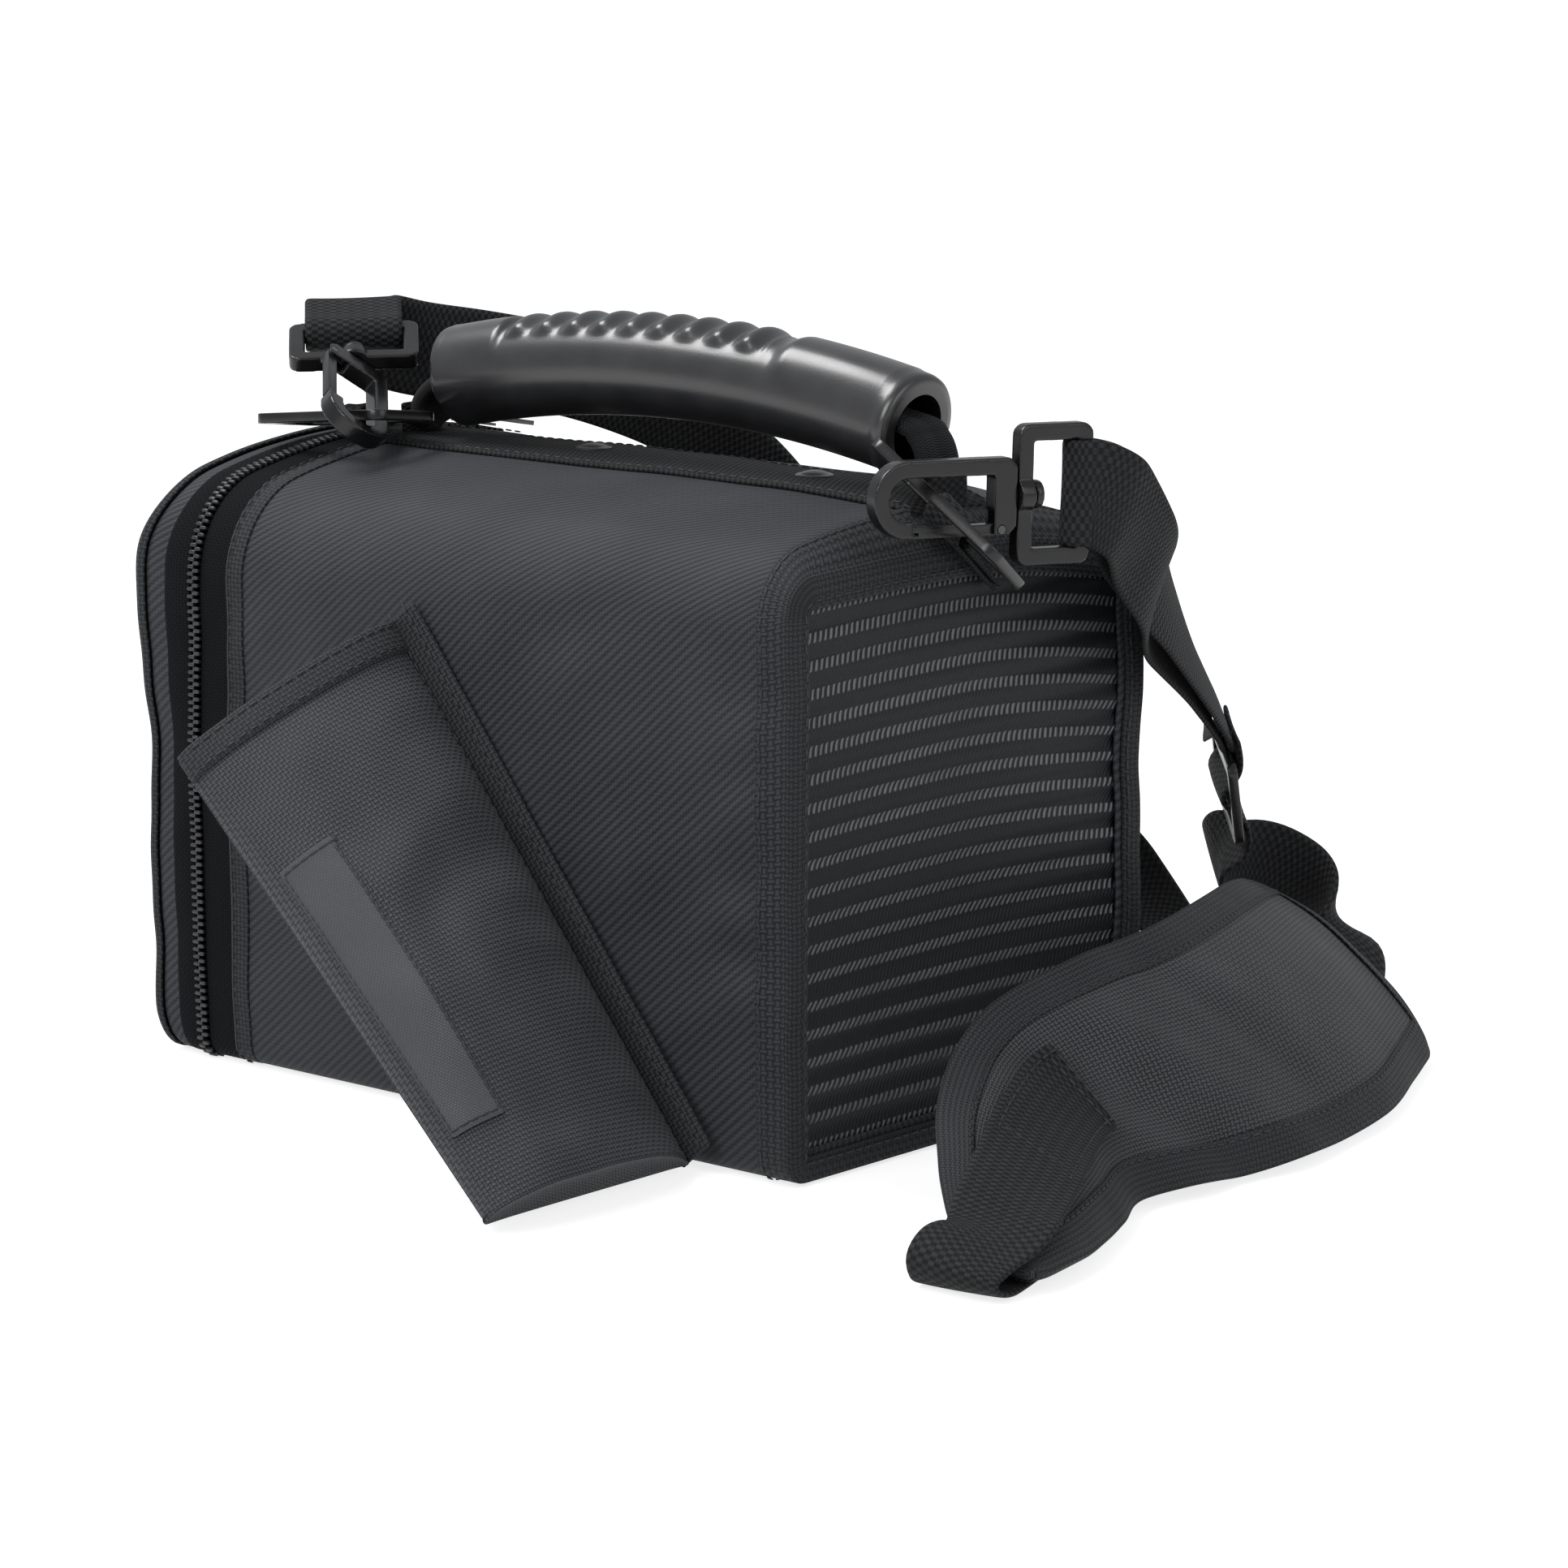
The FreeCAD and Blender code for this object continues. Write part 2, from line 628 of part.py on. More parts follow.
def hook_solid():
    """Snap hook in its own frame: nose at x = 0, hook plane x-z."""
    half = hook_thickness / 2
    r = hook_nose_radius
    nose = Part.makeCylinder(r, hook_thickness, V(r, -half, 0), V(0, 1, 0))
    inner = Part.makeCylinder(mouth_half, hook_thickness + 2, V(r, -half - 1, 0), V(0, 1, 0))
    nose = nose.common(box(0, r, -half - 1, half + 1, -r, r)).cut(inner)
    upper = box(r, boss_x, -half, half, mouth_half, r)
    lip = box(r, r + hook_lip, -half, half, -r, -r + hook_arm)
    lip = lip.cut(box(r + hook_lip / 2, r + hook_lip + 1, -half - 1, half + 1, -r + gate_shelf, r))
    boss = box(boss_x, boss_x + hook_boss_length, -half, half, -r, r)
    corners = [e for e in edges_of(boss, "YLength", hook_thickness) if e.BoundBox.XMin > boss_x + 1]
    boss = boss.makeChamfer(2.0, corners)
    slot_half = gate_bar / 2 + gate_side_clearance
    slot = box(boss_x - 1, pin_x + gate_bar, -slot_half, slot_half, -r - 1, -r + gate_bar + 3.4)
    bore = Part.makeCylinder(gate_pin_radius, hook_thickness + 2, V(pin_x, -half - 1, gate_z), V(0, 1, 0))
    stem_start = V(boss_x + hook_boss_length - 0.5, 0, 0)
    stem = Part.makeCylinder(stem_radius, 2 * stem_gap + eye_bar + 1, stem_start, V(1, 0, 0))
    head_place = V(eye_x + eye_bar + stem_gap, 0, 0)
    head = Part.makeCylinder(stem_head_radius, stem_head_length, head_place, V(1, 0, 0))
    return nose.fuse([upper, lip, boss]).cut(slot).cut(bore).fuse([stem, head]).removeSplitter()


def gate_solid():
    """Sprung gate closing the mouth from inside the lip's shelf, bored for its pin."""
    half = gate_bar / 2
    tip = hook_nose_radius + hook_lip / 2 + gate_side_clearance
    bar = box(tip, pin_x, -half, half, -hook_nose_radius, -hook_nose_radius + gate_bar)
    shelf_z = -hook_nose_radius + gate_shelf + gate_side_clearance
    shelf_x = hook_nose_radius + hook_lip + gate_side_clearance
    bar = bar.cut(box(tip - 1, shelf_x, -half - 1, half + 1, -hook_nose_radius - 1, shelf_z))
    knuckle = Part.makeCylinder(half, gate_bar, V(pin_x, -half, gate_z), V(0, 1, 0))
    bore = Part.makeCylinder(gate_pin_radius + gate_bore_clearance, gate_bar + 2,
                             V(pin_x, -half - 1, gate_z), V(0, 1, 0))
    return bar.fuse(knuckle).cut(bore).removeSplitter()


def gate_pin_solid():
    start = V(pin_x, -hook_thickness / 2, gate_z)
    return Part.makeCylinder(gate_pin_radius, hook_thickness, start, V(0, 1, 0))


def eye_solid():
    """Webbing eye that the hook's stem turns in."""
    half = eye_thickness / 2
    frame = box(eye_x, eye_x + eye_length, -half, half, -eye_height / 2, eye_height / 2)
    frame = frame.makeFillet(3.0, edges_of(frame, "YLength", eye_thickness))
    inner = box(eye_x + eye_bar, eye_x + eye_length - eye_bar, -half - 1, half + 1,
                -eye_height / 2 + eye_bar, eye_height / 2 - eye_bar)
    boss = Part.makeCylinder(stem_head_radius + 0.6, eye_bar, V(eye_x, 0, 0), V(1, 0, 0))
    bore = Part.makeCylinder(stem_radius + stem_bore_clearance, eye_bar + 2, V(eye_x - 1, 0, 0), V(1, 0, 0))
    return frame.cut(inner).fuse(boss).cut(bore).removeSplitter()


class Fitting:
    """Place and directions of one ring and hook set.

    The hook's nose lies behind the ring's near bar; its eye may be turned about the stem."""

    def __init__(self, name, bar_centre, ring_along, ring_across, hook_axis, hook_up, eye_up,
                 grip_shift, grip_at):
        self.name = name
        self.ring_along = ring_along
        self.ring_across = ring_across
        self.ring_centre = bar_centre + ring_across * (ring_breadth / 2 - ring_bar_width / 2)
        self.hook_axis = hook_axis
        self.hook_side, self.hook_up = self.turned(hook_up)
        self.eye_side, self.eye_up = self.turned(eye_up)
        self.nose = bar_centre + ring_along * grip_shift - hook_axis * grip_at

    def turned(self, up):
        side = up.cross(self.hook_axis)
        side.normalize()
        return side, self.hook_axis.cross(side)

    def ring(self, shape):
        normal = self.ring_along.cross(self.ring_across)
        return placed(shape, self.ring_centre, self.ring_along, self.ring_across, normal)

    def hook(self, shape):
        return placed(shape, self.nose, self.hook_axis, self.hook_side, self.hook_up)

    def eye(self, shape):
        return placed(shape, self.nose, self.hook_axis, self.eye_side, self.eye_up)

    def eye_point(self, x, y):
        return self.nose + self.hook_axis * x + self.eye_side * y


front_set = Fitting("front", V(-27, front_y - 11.5, front_crown + 14.1),
                    unit(-0.071, -0.860, -0.506), unit(0.825, 0.231, -0.512),
                    unit(0.94, -0.34, -0.03), V(0, 0, 1), V(0, 0, 1), 0.0, 17.0)
rear_set = Fitting("rear", V(-31.6, zip_y - 10.1, rear_crown + 7.4),
                   unit(0.02, 1, -0.11), unit(0.98, -0.03, -0.12),
                   unit(0.66, 0.665, 0.345), unit(0.70, -0.40, -0.55), unit(0.656, -0.755, 0.0),
                   -13.0, 10.2)

case_outer = case_block(front_y, back_y, -binding_proud)
case_outer = case_outer.fuse(case_plate(binding_front, front_y, -binding_proud))
keeper_places = {"front": (-3.0, front_keeper_width, front_keeper_tail, -keeper_outer),
                 "rear": (4.0, rear_keeper_width, rear_keeper_tail, -1.0)}
for fitting in (front_set, rear_set):
    save(fitting.ring(ring_solid()), "ring_" + fitting.name)
    save(fitting.hook(hook_solid()), "hook_" + fitting.name)
    save(fitting.hook(gate_solid()), "gate_" + fitting.name)
    save(fitting.hook(gate_pin_solid()), "gate_pin_" + fitting.name)
    save(fitting.eye(eye_solid()), "eye_" + fitting.name)
    keeper = fitting.ring(keeper_solid(*keeper_places[fitting.name]))
    save(keeper.cut(case_outer).cut(strip_solid), "ring_keeper_" + fitting.name)


def corner(x, y, z, height=0.0):
    """Place counted from the case's front right corner and a height of the case."""
    return V(half_width + x, front_y + y, height + z)


# Strap webbing: flat ribbons through places of (centre, width direction)
def ribbon(places, width=webbing_width, thickness=webbing_thickness):
    """Solid of webbing through the places, square to its own run at each."""
    outlines = []
    last = len(places) - 1
    for i, (centre, across) in enumerate(places):
        ahead = places[min(i + 1, last)][0] - places[max(i - 1, 0)][0]
        ahead.normalize()
        side = across - ahead * across.dot(ahead)
        side.normalize()
        a = side * (width / 2)
        b = ahead.cross(side) * (thickness / 2)
        outlines.append([centre - a - b, centre + a - b, centre + a + b, centre - a + b])
    return skin(outlines)


turn_radius = eye_bar / 2 + webbing_thickness / 2 + eye_turn_clearance


def eye_turn(fitting, angles):
    """Places of webbing going round the eye's far bar, from its outer face to its inner face."""
    places = []
    for angle in angles:
        reach = turn_radius * math.cos(math.radians(angle))
        lift = turn_radius * math.sin(math.radians(angle))
        places.append((fitting.eye_point(far_bar - reach, lift), fitting.eye_up))
    return places


# Strap slider: a flat frame with three bars that the webbing passes under, over and under
slide_centre = corner(43, 4, pad_top + slide_hang)
slide_along = unit(0.25, 0.05, -0.97)
slide_width = unit(0.68, 0.68, 0.21)
slide_out = slide_width.cross(slide_along)
slide_out.normalize()
slide_width = slide_along.cross(slide_out)


def slide_point(x, z):
    """Point on the slider's middle line: x along the webbing's run, z outwards."""
    return slide_centre + slide_along * x + slide_out * z


def strap_slider():
    inner = webbing_width / 2 + 1.0
    half = inner + slide_side_bar
    frame = box(-slide_run / 2, slide_run / 2, -half, half, -slide_thickness / 2, slide_thickness / 2)
    frame = frame.makeFillet(3.0, edges_of(frame, "ZLength", slide_thickness))
    first = slide_bar / 2
    last = slide_run / 2 - slide_bar
    for x0, x1 in ((-last, -first), (first, last)):
        frame = frame.cut(box(x0, x1, -inner, inner, -slide_thickness, slide_thickness))
    return placed(frame, slide_centre, slide_along, slide_width, slide_out)


save(strap_slider(), "strap_slider")


def beside(places, i, gap):
    """Place of a second layer at gap from one of a run of places, on the side that faces the case."""
    centre, across = places[i]
    ahead = places[i + 1][0] - places[i - 1][0]
    normal = ahead.cross(across)
    normal.normalize()
    if normal.dot(slide_out) < 0:
        normal = normal * -1
    return centre + normal * gap, across


# The two layers between the front eye and the strap's slider
layer_ends = (-18.0, -12.2)
layer_gap = 2.6
halfway = (front_crown + slide_centre.z - 5.5) / 2
front_outer_layer = [(front_set.nose + V(64, -19.3, -4.6), V(0.1, -0.1, 1)),
                     (front_set.nose + V(75, -16.3, -13.6), V(0.45, -0.2, 0.9)),
                     (front_set.nose + V(86, -13.3, -24.1), V(0.7, 0.0, 0.7)),
                     (corner(-7, -14.5, -21.5, front_crown), V(0.6, 0.45, 0.68)),
                     (corner(17, -5, halfway), V(0.4, 0.72, 0.55))]
front_outer_layer += [(slide_point(x, 0.0), slide_width) for x in layer_ends]
front_inner_layer = [(front_set.nose + V(63, -25.3, -6.6), V(0.1, -0.1, 1)),
                     (front_set.nose + V(74, -21.8, -16.6), V(0.45, -0.25, 0.85)),
                     (front_set.nose + V(86, -18.3, -29.1), V(0.62, 0.0, 0.7)),
                     beside(front_outer_layer, 3, 2 * layer_gap), beside(front_outer_layer, 4, layer_gap)]
front_inner_layer += [(slide_point(x, layer_gap), slide_width) for x in layer_ends]
turn = eye_turn(front_set, (120, 70, 20, -20, -70, -120))
strap_front = ribbon(front_outer_layer[::-1] + turn + front_inner_layer)
save(strap_front, "strap_front")


# Shoulder pad: places along its lower and upper edges, and how full it is at each
pad_lower = [corner(-164, -100, 4.5), corner(-141, -96, 4.5), corner(-115, -85, 4), corner(-93, -74, 3.5),
             corner(-67, -76, 3), corner(-35, -78, 3), corner(7, -70, 3), corner(41, -55, 3),
             corner(72, -40, 3)]
pad_upper = [corner(-158, -72, 9), corner(-144, -57, 18), corner(-125, -42, 29), corner(-103, -36, 42),
             corner(-78, -42, 51), corner(-53, -44, pad_top), corner(-18, -32, 53), corner(21, -13, 49),
             corner(55, 6, 42)]
pad_fullness = (0.15, 0.7, 1.0, 1.0, 1.0, 1.0, 1.0, 1.0, 0.6)
pad_middle = [(a + b) * 0.5 for a, b in zip(pad_lower, pad_upper)]


def pad_frame(i):
    """Directions of the pad at one place: across it and out of its crown."""
    last = len(pad_middle) - 1
    ahead = pad_middle[min(i + 1, last)] - pad_middle[max(i - 1, 0)]
    across = pad_upper[i] - pad_lower[i]
    across.normalize()
    normal = ahead.cross(across)
    normal.normalize()
    return across, normal


def pad_ends(outlines, reach):
    """Move the first and last outline outwards along the pad by reach."""
    for end, beside in ((0, 1), (-1, -2)):
        outwards = pad_middle[end] - pad_middle[beside]
        outwards.normalize()
        outlines[end] = [point + outwards * reach for point in outlines[end]]
    return outlines


def pad_block(narrower, thicker):
    """The pad's own form, narrower at each edge and thicker on both faces."""
    outlines = []
    for i in range(len(pad_middle)):
        across, normal = pad_frame(i)
        half = (pad_upper[i] - pad_lower[i]).Length / 2
        top = []
        bottom = []
        for share in pad_shares:
            place = pad_middle[i] + across * ((half - narrower) * share)
            crown = pad_edge / 2 + pad_crown * pad_fullness[i] * (1 - share * share) + thicker
            top.append(place + normal * crown)
            bottom.append(place - normal * (pad_edge / 2 + thicker))
        outlines.append(top + bottom[::-1])
    return skin(pad_ends(outlines, -narrower))


pad_shares = (-1.0, -0.72, -0.4, 0.0, 0.4, 0.72, 1.0)
pad_solid = pad_block(0, 0)
save(pad_solid, "shoulder_pad")
binding = pad_block(-pad_binding_proud, pad_binding_proud)
binding = binding.cut(pad_block(pad_binding_width, 4 * pad_crown)).cut(pad_solid)
save(binding, "pad_binding")

# Strap webbing from the slider to its end under the pad
under_pad = []
for i in range(len(pad_middle) - 1, 1, -1):
    across, normal = pad_frame(i)
    depth = pad_edge / 2 + pad_binding_proud + pad_strap_gap + webbing_thickness / 2
    under_pad.append((pad_middle[i] - normal * depth, across))
under, over = -2.4, 2.5
threaded = [(slide_point(x, z), slide_width) for x, z in
            ((-16, under), (-7.3, under), (-1.8, over), (1.8, over), (7.3, under), (15, under))]
to_pad = [(corner(47.5, 8.5, -19, slide_centre.z), V(0.6, 0.75, 0.1)),
          (corner(55, 16, -26, slide_centre.z), V(0.4, 0.6, 0.7)),
          (corner(64, 18, -28, slide_centre.z), V(0.1, 0.1, 1)),
          (corner(75, 16, -29, slide_centre.z), V(-0.2, 0.1, 1)),
          (corner(83, 8, 35), V(-0.3, 0.3, 0.9)), (corner(85, -2, 27), V(-0.32, 0.55, 0.75)),
          (corner(79, -8, 21), V(-0.28, 0.7, 0.65))]
strap_main = ribbon(threaded + to_pad + under_pad)
save(strap_main, "strap_main")

# Strap webbing from its end on top of the pad, folded round the pad's near end, along the
# floor and up the case's right side to the rear eye
on_pad = []
for i in (3, 2, 1, 0):
    across, normal = pad_frame(i)
    crown = pad_edge / 2 + pad_crown * pad_fullness[i] + pad_binding_proud
    on_pad.append((pad_middle[i] + normal * (crown + pad_top_gap + webbing_thickness / 2), across))
fold = [(corner(-169, -86, 10.2), V(-0.1, 0.95, 0.22)), (corner(-173.5, -85.6, 8), V(-0.05, 0.95, 0.2)),
        (corner(-175, -85.4, 5.6), V(-0.05, 0.95, 0.16)), (corner(-173.6, -85.2, 2.7), V(-0.1, 0.95, 0.06)),
        (corner(-169, -84.6, 0.9), V(-0.2, 0.95, 0))]
on_floor = [(corner(-149, -78, 0.9), V(-0.35, 0.9, 0)), (corner(-125, -66, 0.9), V(-0.4, 0.9, 0)),
            (corner(-95, -55, 0.9), V(-0.2, 1, 0)), (corner(-63, -51, 0.9), V(0, 1, 0)),
            (corner(-29, -49, 0.9), V(-0.1, 1, 0)), (corner(1, -42, 0.9), V(-0.35, 0.9, 0))]
up_side = [(corner(25, -28, 2.2), V(-0.7, 0.7, 0)), (corner(41, -10, 8), V(-0.9, 0.3, 0.1)),
           (corner(47, 10, 20), V(-0.9, 0, 0.3)), (corner(45, 30, 35), V(-0.7, 0.3, 0.1)),
           (corner(37, 49, 51), V(-0.4, 0.7, -0.3)), (corner(26, 66, 69), V(-0.2, 0.85, -0.5)),
           (corner(17, 83, 89), V(-0.1, 0.85, -0.5)), (corner(12, 99, -45, rear_crown), V(0, 0.85, -0.5)),
           (corner(10, 116, -27, rear_crown), V(0, 0.8, -0.6)),
           (corner(7, 131, -12, rear_crown), V(0, 0.75, -0.65)),
           (corner(1, 146, -1, rear_crown), V(0, 0.7, -0.7)),
           (corner(-8, 160, 7, rear_crown), V(0, 0.55, -0.8)),
           (corner(-19, 176, 13, rear_crown), V(0, 0.4, -0.9)),
           (rear_set.nose + V(72.6, 25.3, 10.7), V(-0.1, 0.2, -1)),
           (rear_set.nose + V(60.6, 37.3, 13.2), V(-0.25, 0.25, -0.9)),
           (rear_set.nose + V(49.6, 45.3, 16.7), V(-0.5, 0.5, -0.5))]
rear_turn_places = [(c, w * -1) for c, w in eye_turn(rear_set, (-120, -70, -20, 20, 70, 120))]
tail_end = rear_set.eye_point(far_bar + 12, turn_radius)
tail = [(tail_end, rear_set.eye_up * -1)]
strap_rear = ribbon(on_pad + fold + on_floor + up_side + rear_turn_places + tail)
save(strap_rear, "strap_rear")

# Accessory pouch leaning on the -X side: corners of its back
pouch_top_right = V(-half_width - 2.2, 17.6, 119)
pouch_bottom_right = V(-half_width - 3.5, -78.8, 1.6)
pouch_bottom_left = V(-half_width - 73, -79.5, 1.6)
pouch_top_left = V(-half_width - 52, 41, 89.5)
pouch_out = (pouch_top_left - pouch_top_right).cross(pouch_bottom_right - pouch_top_right)
pouch_out.normalize()
pouch_rows = (0.0, 0.12, 0.3, 0.5, 0.7, 0.86, 1.0)
pouch_columns = (0.0, 0.08, 0.2, 0.4, 0.55, 0.7, 0.94, 1.0)
pouch_depths = (pouch_bulge_top, 14.0, 20.0, pouch_bulge_middle, 23.0, 21.0, pouch_bulge_bottom)
pouch_fullness = (0.0, 0.5, 0.82, 1.0, 1.0, 0.94, 0.45, 0.0)


def pouch_base(u, v):
    """Point of the pouch's back: u from its right edge to its left, v from top to bottom."""
    top = pouch_top_right + (pouch_top_left - pouch_top_right) * u
    bottom = pouch_bottom_right + (pouch_bottom_left - pouch_bottom_right) * u
    return top + (bottom - top) * v


def pouch_outline(v, depth, inset, margin, behind=0):
    """Outline across the pouch at v: its flat back, then its bulged front drawn in by inset."""
    front = []
    for u, share in zip(pouch_columns, pouch_fullness):
        place = margin + (1 - 2 * margin) * u
        lift = pouch_wall + (depth - pouch_wall) * share - inset
        front.append(pouch_base(place, v) + pouch_out * max(lift, 0.3))
    back = pouch_out * behind
    return [pouch_base(margin, v) - back] + front + [pouch_base(1 - margin, v) - back]


def pouch_cavity():
    """Room inside the pocket, out through its mouth and back to its back panel."""
    margin = pouch_wall / pouch_width
    above = -0.05
    flare = (pouch_depths[1] - pouch_depths[0]) / pouch_rows[1]
    rows = (above,) + pouch_rows[1:-1] + (1 - pouch_wall / pouch_height,)
    depths = (pouch_depths[0] + flare * above,) + pouch_depths[1:]
    behind = 4 * pouch_wall
    return skin([pouch_outline(v, depth, pouch_wall, margin, behind) for v, depth in zip(rows, depths)])


def pouch_back():
    """Flat back panel behind the pocket."""
    rows = []
    for v in pouch_rows:
        rows.append([pouch_base(0, v), pouch_base(1, v), pouch_base(1, v) - pouch_out * pouch_wall,
                     pouch_base(0, v) - pouch_out * pouch_wall])
    return skin(rows)


pouch_outer = skin([pouch_outline(v, depth, 0, 0) for v, depth in zip(pouch_rows, pouch_depths)])
save(pouch_outer.cut(pouch_cavity()), "pouch_body")
save(pouch_back(), "pouch_back")


def pouch_band(v0, v1, proud):
    """Band of cloth over the pocket's front between two heights, standing proud of it."""
    outlines = []
    for v in (v0, v1):
        share = (v - pouch_rows[0]) / (pouch_rows[1] - pouch_rows[0])
        depth = pouch_depths[0] + (pouch_depths[1] - pouch_depths[0]) * share
        over = pouch_outline(v, depth, -proud, 0)[1:-1]
        under = pouch_outline(v, depth, 0, 0)[1:-1]
        outlines.append(over + under[::-1])
    return skin(outlines)


save(pouch_band(0.0, pouch_hem / pouch_height, pouch_hem_proud).cut(pouch_outer), "pouch_hem")


def pouch_binding():
    """Bound seam beside the pocket's right edge, lying against the case."""
    run = pouch_bottom_right - pouch_top_right
    run.normalize()
    aside = V(0, run.z, -run.y)
    aside.normalize()
    outlines = []
    for end in (pouch_top_right, pouch_bottom_right):
        start = end + aside * (pouch_wall + 0.4)
        far = start + aside * pouch_binding_width
        outwards = V(-pouch_binding_cloth, 0, 0)
        outlines.append([start, far, far + outwards, start + outwards])
    return skin(outlines)


save(pouch_binding(), "pouch_binding")


def pouch_label():
    """Blank label sewn flat on the left part of the pocket's front."""
    outlines = []
    for v, depth in list(zip(pouch_rows, pouch_depths))[2:6]:
        over = pouch_outline(v, depth, -label_thickness - label_gap, 0)[6:8]
        under = pouch_outline(v, depth, -label_gap, 0)[6:8]
        outlines.append(over + under[::-1])
    return skin(outlines)


save(pouch_label(), "pouch_label")
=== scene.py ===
import bisect
import math
import bpy
from mathutils import Matrix, Vector, noise


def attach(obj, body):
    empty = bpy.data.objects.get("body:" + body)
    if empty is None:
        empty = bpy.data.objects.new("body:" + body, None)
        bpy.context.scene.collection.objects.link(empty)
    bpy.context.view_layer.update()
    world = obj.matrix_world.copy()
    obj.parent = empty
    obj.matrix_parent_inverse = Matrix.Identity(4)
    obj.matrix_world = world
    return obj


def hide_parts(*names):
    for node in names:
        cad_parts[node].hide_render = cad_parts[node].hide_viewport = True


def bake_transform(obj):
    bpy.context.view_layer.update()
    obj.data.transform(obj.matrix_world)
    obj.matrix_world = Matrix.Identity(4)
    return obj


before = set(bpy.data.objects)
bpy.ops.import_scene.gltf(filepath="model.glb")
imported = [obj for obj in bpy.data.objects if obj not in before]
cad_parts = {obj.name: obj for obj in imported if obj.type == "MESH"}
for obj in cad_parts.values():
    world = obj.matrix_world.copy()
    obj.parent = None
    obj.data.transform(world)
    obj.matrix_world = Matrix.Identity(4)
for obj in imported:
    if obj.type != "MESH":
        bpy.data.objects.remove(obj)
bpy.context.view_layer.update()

# Padded nylon carrying case. Sizes below are in millimetres, as in the part's source,
# and every mesh is written in metres in the case's own frame.
MM = 0.001


def V(x, y, z):
    return Vector((x, y, z))


def unit(x, y, z):
    return V(x, y, z).normalized()


def smooth(low, high, x):
    """0 below low, 1 above high, an even turn between."""
    share = min(max((x - low) / (high - low), 0.0), 1.0)
    return share * share * (3 - 2 * share)


def ripple(place, size, seed=0.0):
    """Even noise from -1 to 1 with features of the given size in millimetres."""
    return noise.noise(V(place[0] / size + seed, place[1] / size + 1.7 * seed, place[2] / size - seed))


def hump(x, middle, width):
    """A rounded hump of height 1 about its middle."""
    return math.exp(-((x - middle) / width) ** 2)


def lookup(rows, share):
    """Values a share, from 0 to 1, of the way through evenly spaced rows of numbers."""
    at = share * (len(rows) - 1)
    i = min(int(at), len(rows) - 2)
    return [a + (b - a) * (at - i) for a, b in zip(rows[i], rows[i + 1])]


# ---- camera, floor and light
floor_level = -0.0004
floor_glow = 1.54
room_light = 0.55


def set_camera():
    right = unit(0.6561, -0.7547, 0.0)
    up = unit(0.1440, 0.1252, 0.9816)
    data = bpy.data.cameras.new("photo_camera")
    camera = bpy.data.objects.new("photo_camera", data)
    bpy.context.scene.collection.objects.link(camera)
    turn = Matrix((right, up, right.cross(up))).transposed().to_4x4()
    camera.matrix_world = Matrix.Translation(V(-1022.5, -937.3, 341.6) * MM) @ turn
    data.lens = 36 * 7000 / 1932
    data.sensor_width = 36
    data.clip_start = 0.05
    bpy.context.scene.camera = camera


class Tree:
    """A node tree under construction, with short calls for its nodes."""

    def __init__(self, owner):
        owner.use_nodes = True
        self.nodes = owner.node_tree.nodes
        self.links = owner.node_tree.links

    def fill(self, made, inputs):
        """Set a node's inputs, each to a constant or to another node's output."""
        for key, value in inputs.items():
            if isinstance(value, bpy.types.NodeSocket):
                self.links.new(value, made.inputs[key])
            else:
                made.inputs[key].default_value = value
        return made

    def node(self, kind, inputs=(), **values):
        made = self.nodes.new(kind)
        for key, value in values.items():
            setattr(made, key, value)
        return self.fill(made, dict(inputs))

    def maths(self, kind, a, b):
        return self.node("ShaderNodeMath", {0: a, 1: b}, operation=kind).outputs[0]

    def blend(self, share, low, high):
        return self.node("ShaderNodeMix", {0: share, 2: low, 3: high}, data_type="FLOAT").outputs[0]

    def mixed(self, share, low, high):
        mix = self.node("ShaderNodeMixShader", {0: share, 1: low.outputs[0], 2: high.outputs[0]})
        return mix.outputs[0]

    def rays(self, one, other):
        """1 for rays of either kind, else 0."""
        path = self.node("ShaderNodeLightPath").outputs
        return self.maths("MAXIMUM", path[one], path[other])


def set_floor():
    """A floor that looks white to the camera and keeps the object's shadow."""
    bpy.ops.mesh.primitive_plane_add(size=12, location=(0, 0, floor_level))
    floor = bpy.context.object
    floor.name = "floor"
    mat = bpy.data.materials.new("pale_floor")
    t = Tree(mat)
    t.nodes.clear()
    matte = t.node("ShaderNodeBsdfDiffuse", {"Color": (0.9, 0.9, 0.9, 1)})
    level = t.maths("MULTIPLY", t.rays("Is Camera Ray", "Is Glossy Ray"), floor_glow)
    glow = t.node("ShaderNodeEmission", {"Strength": level})
    t.node("ShaderNodeOutputMaterial", {0: t.mixed(0.5, matte, glow)})
    floor.data.materials.append(mat)


def set_world():
    """Soft light from all round, seen by the camera as plain white."""
    world = bpy.data.worlds.new("studio")
    bpy.context.scene.world = world
    t = Tree(world)
    t.nodes.clear()
    room = t.node("ShaderNodeBackground", {"Color": (0.95, 0.97, 1.0, 1), "Strength": room_light})
    seen = t.node("ShaderNodeBackground", {"Color": (1, 1, 1, 1), "Strength": 1.0})
    share = t.rays("Is Camera Ray", "Is Transmission Ray")
    t.node("ShaderNodeOutputWorld", {0: t.mixed(share, room, seen)})


def add_lamp(name, place, target, size, power):
    data = bpy.data.lights.new(name, "AREA")
    data.shape = "SQUARE"
    data.size = size
    data.energy = power
    lamp = bpy.data.objects.new(name, data)
    bpy.context.scene.collection.objects.link(lamp)
    lamp.location = place
    lamp.rotation_euler = (Vector(target) - Vector(place)).to_track_quat("-Z", "Y").to_euler()


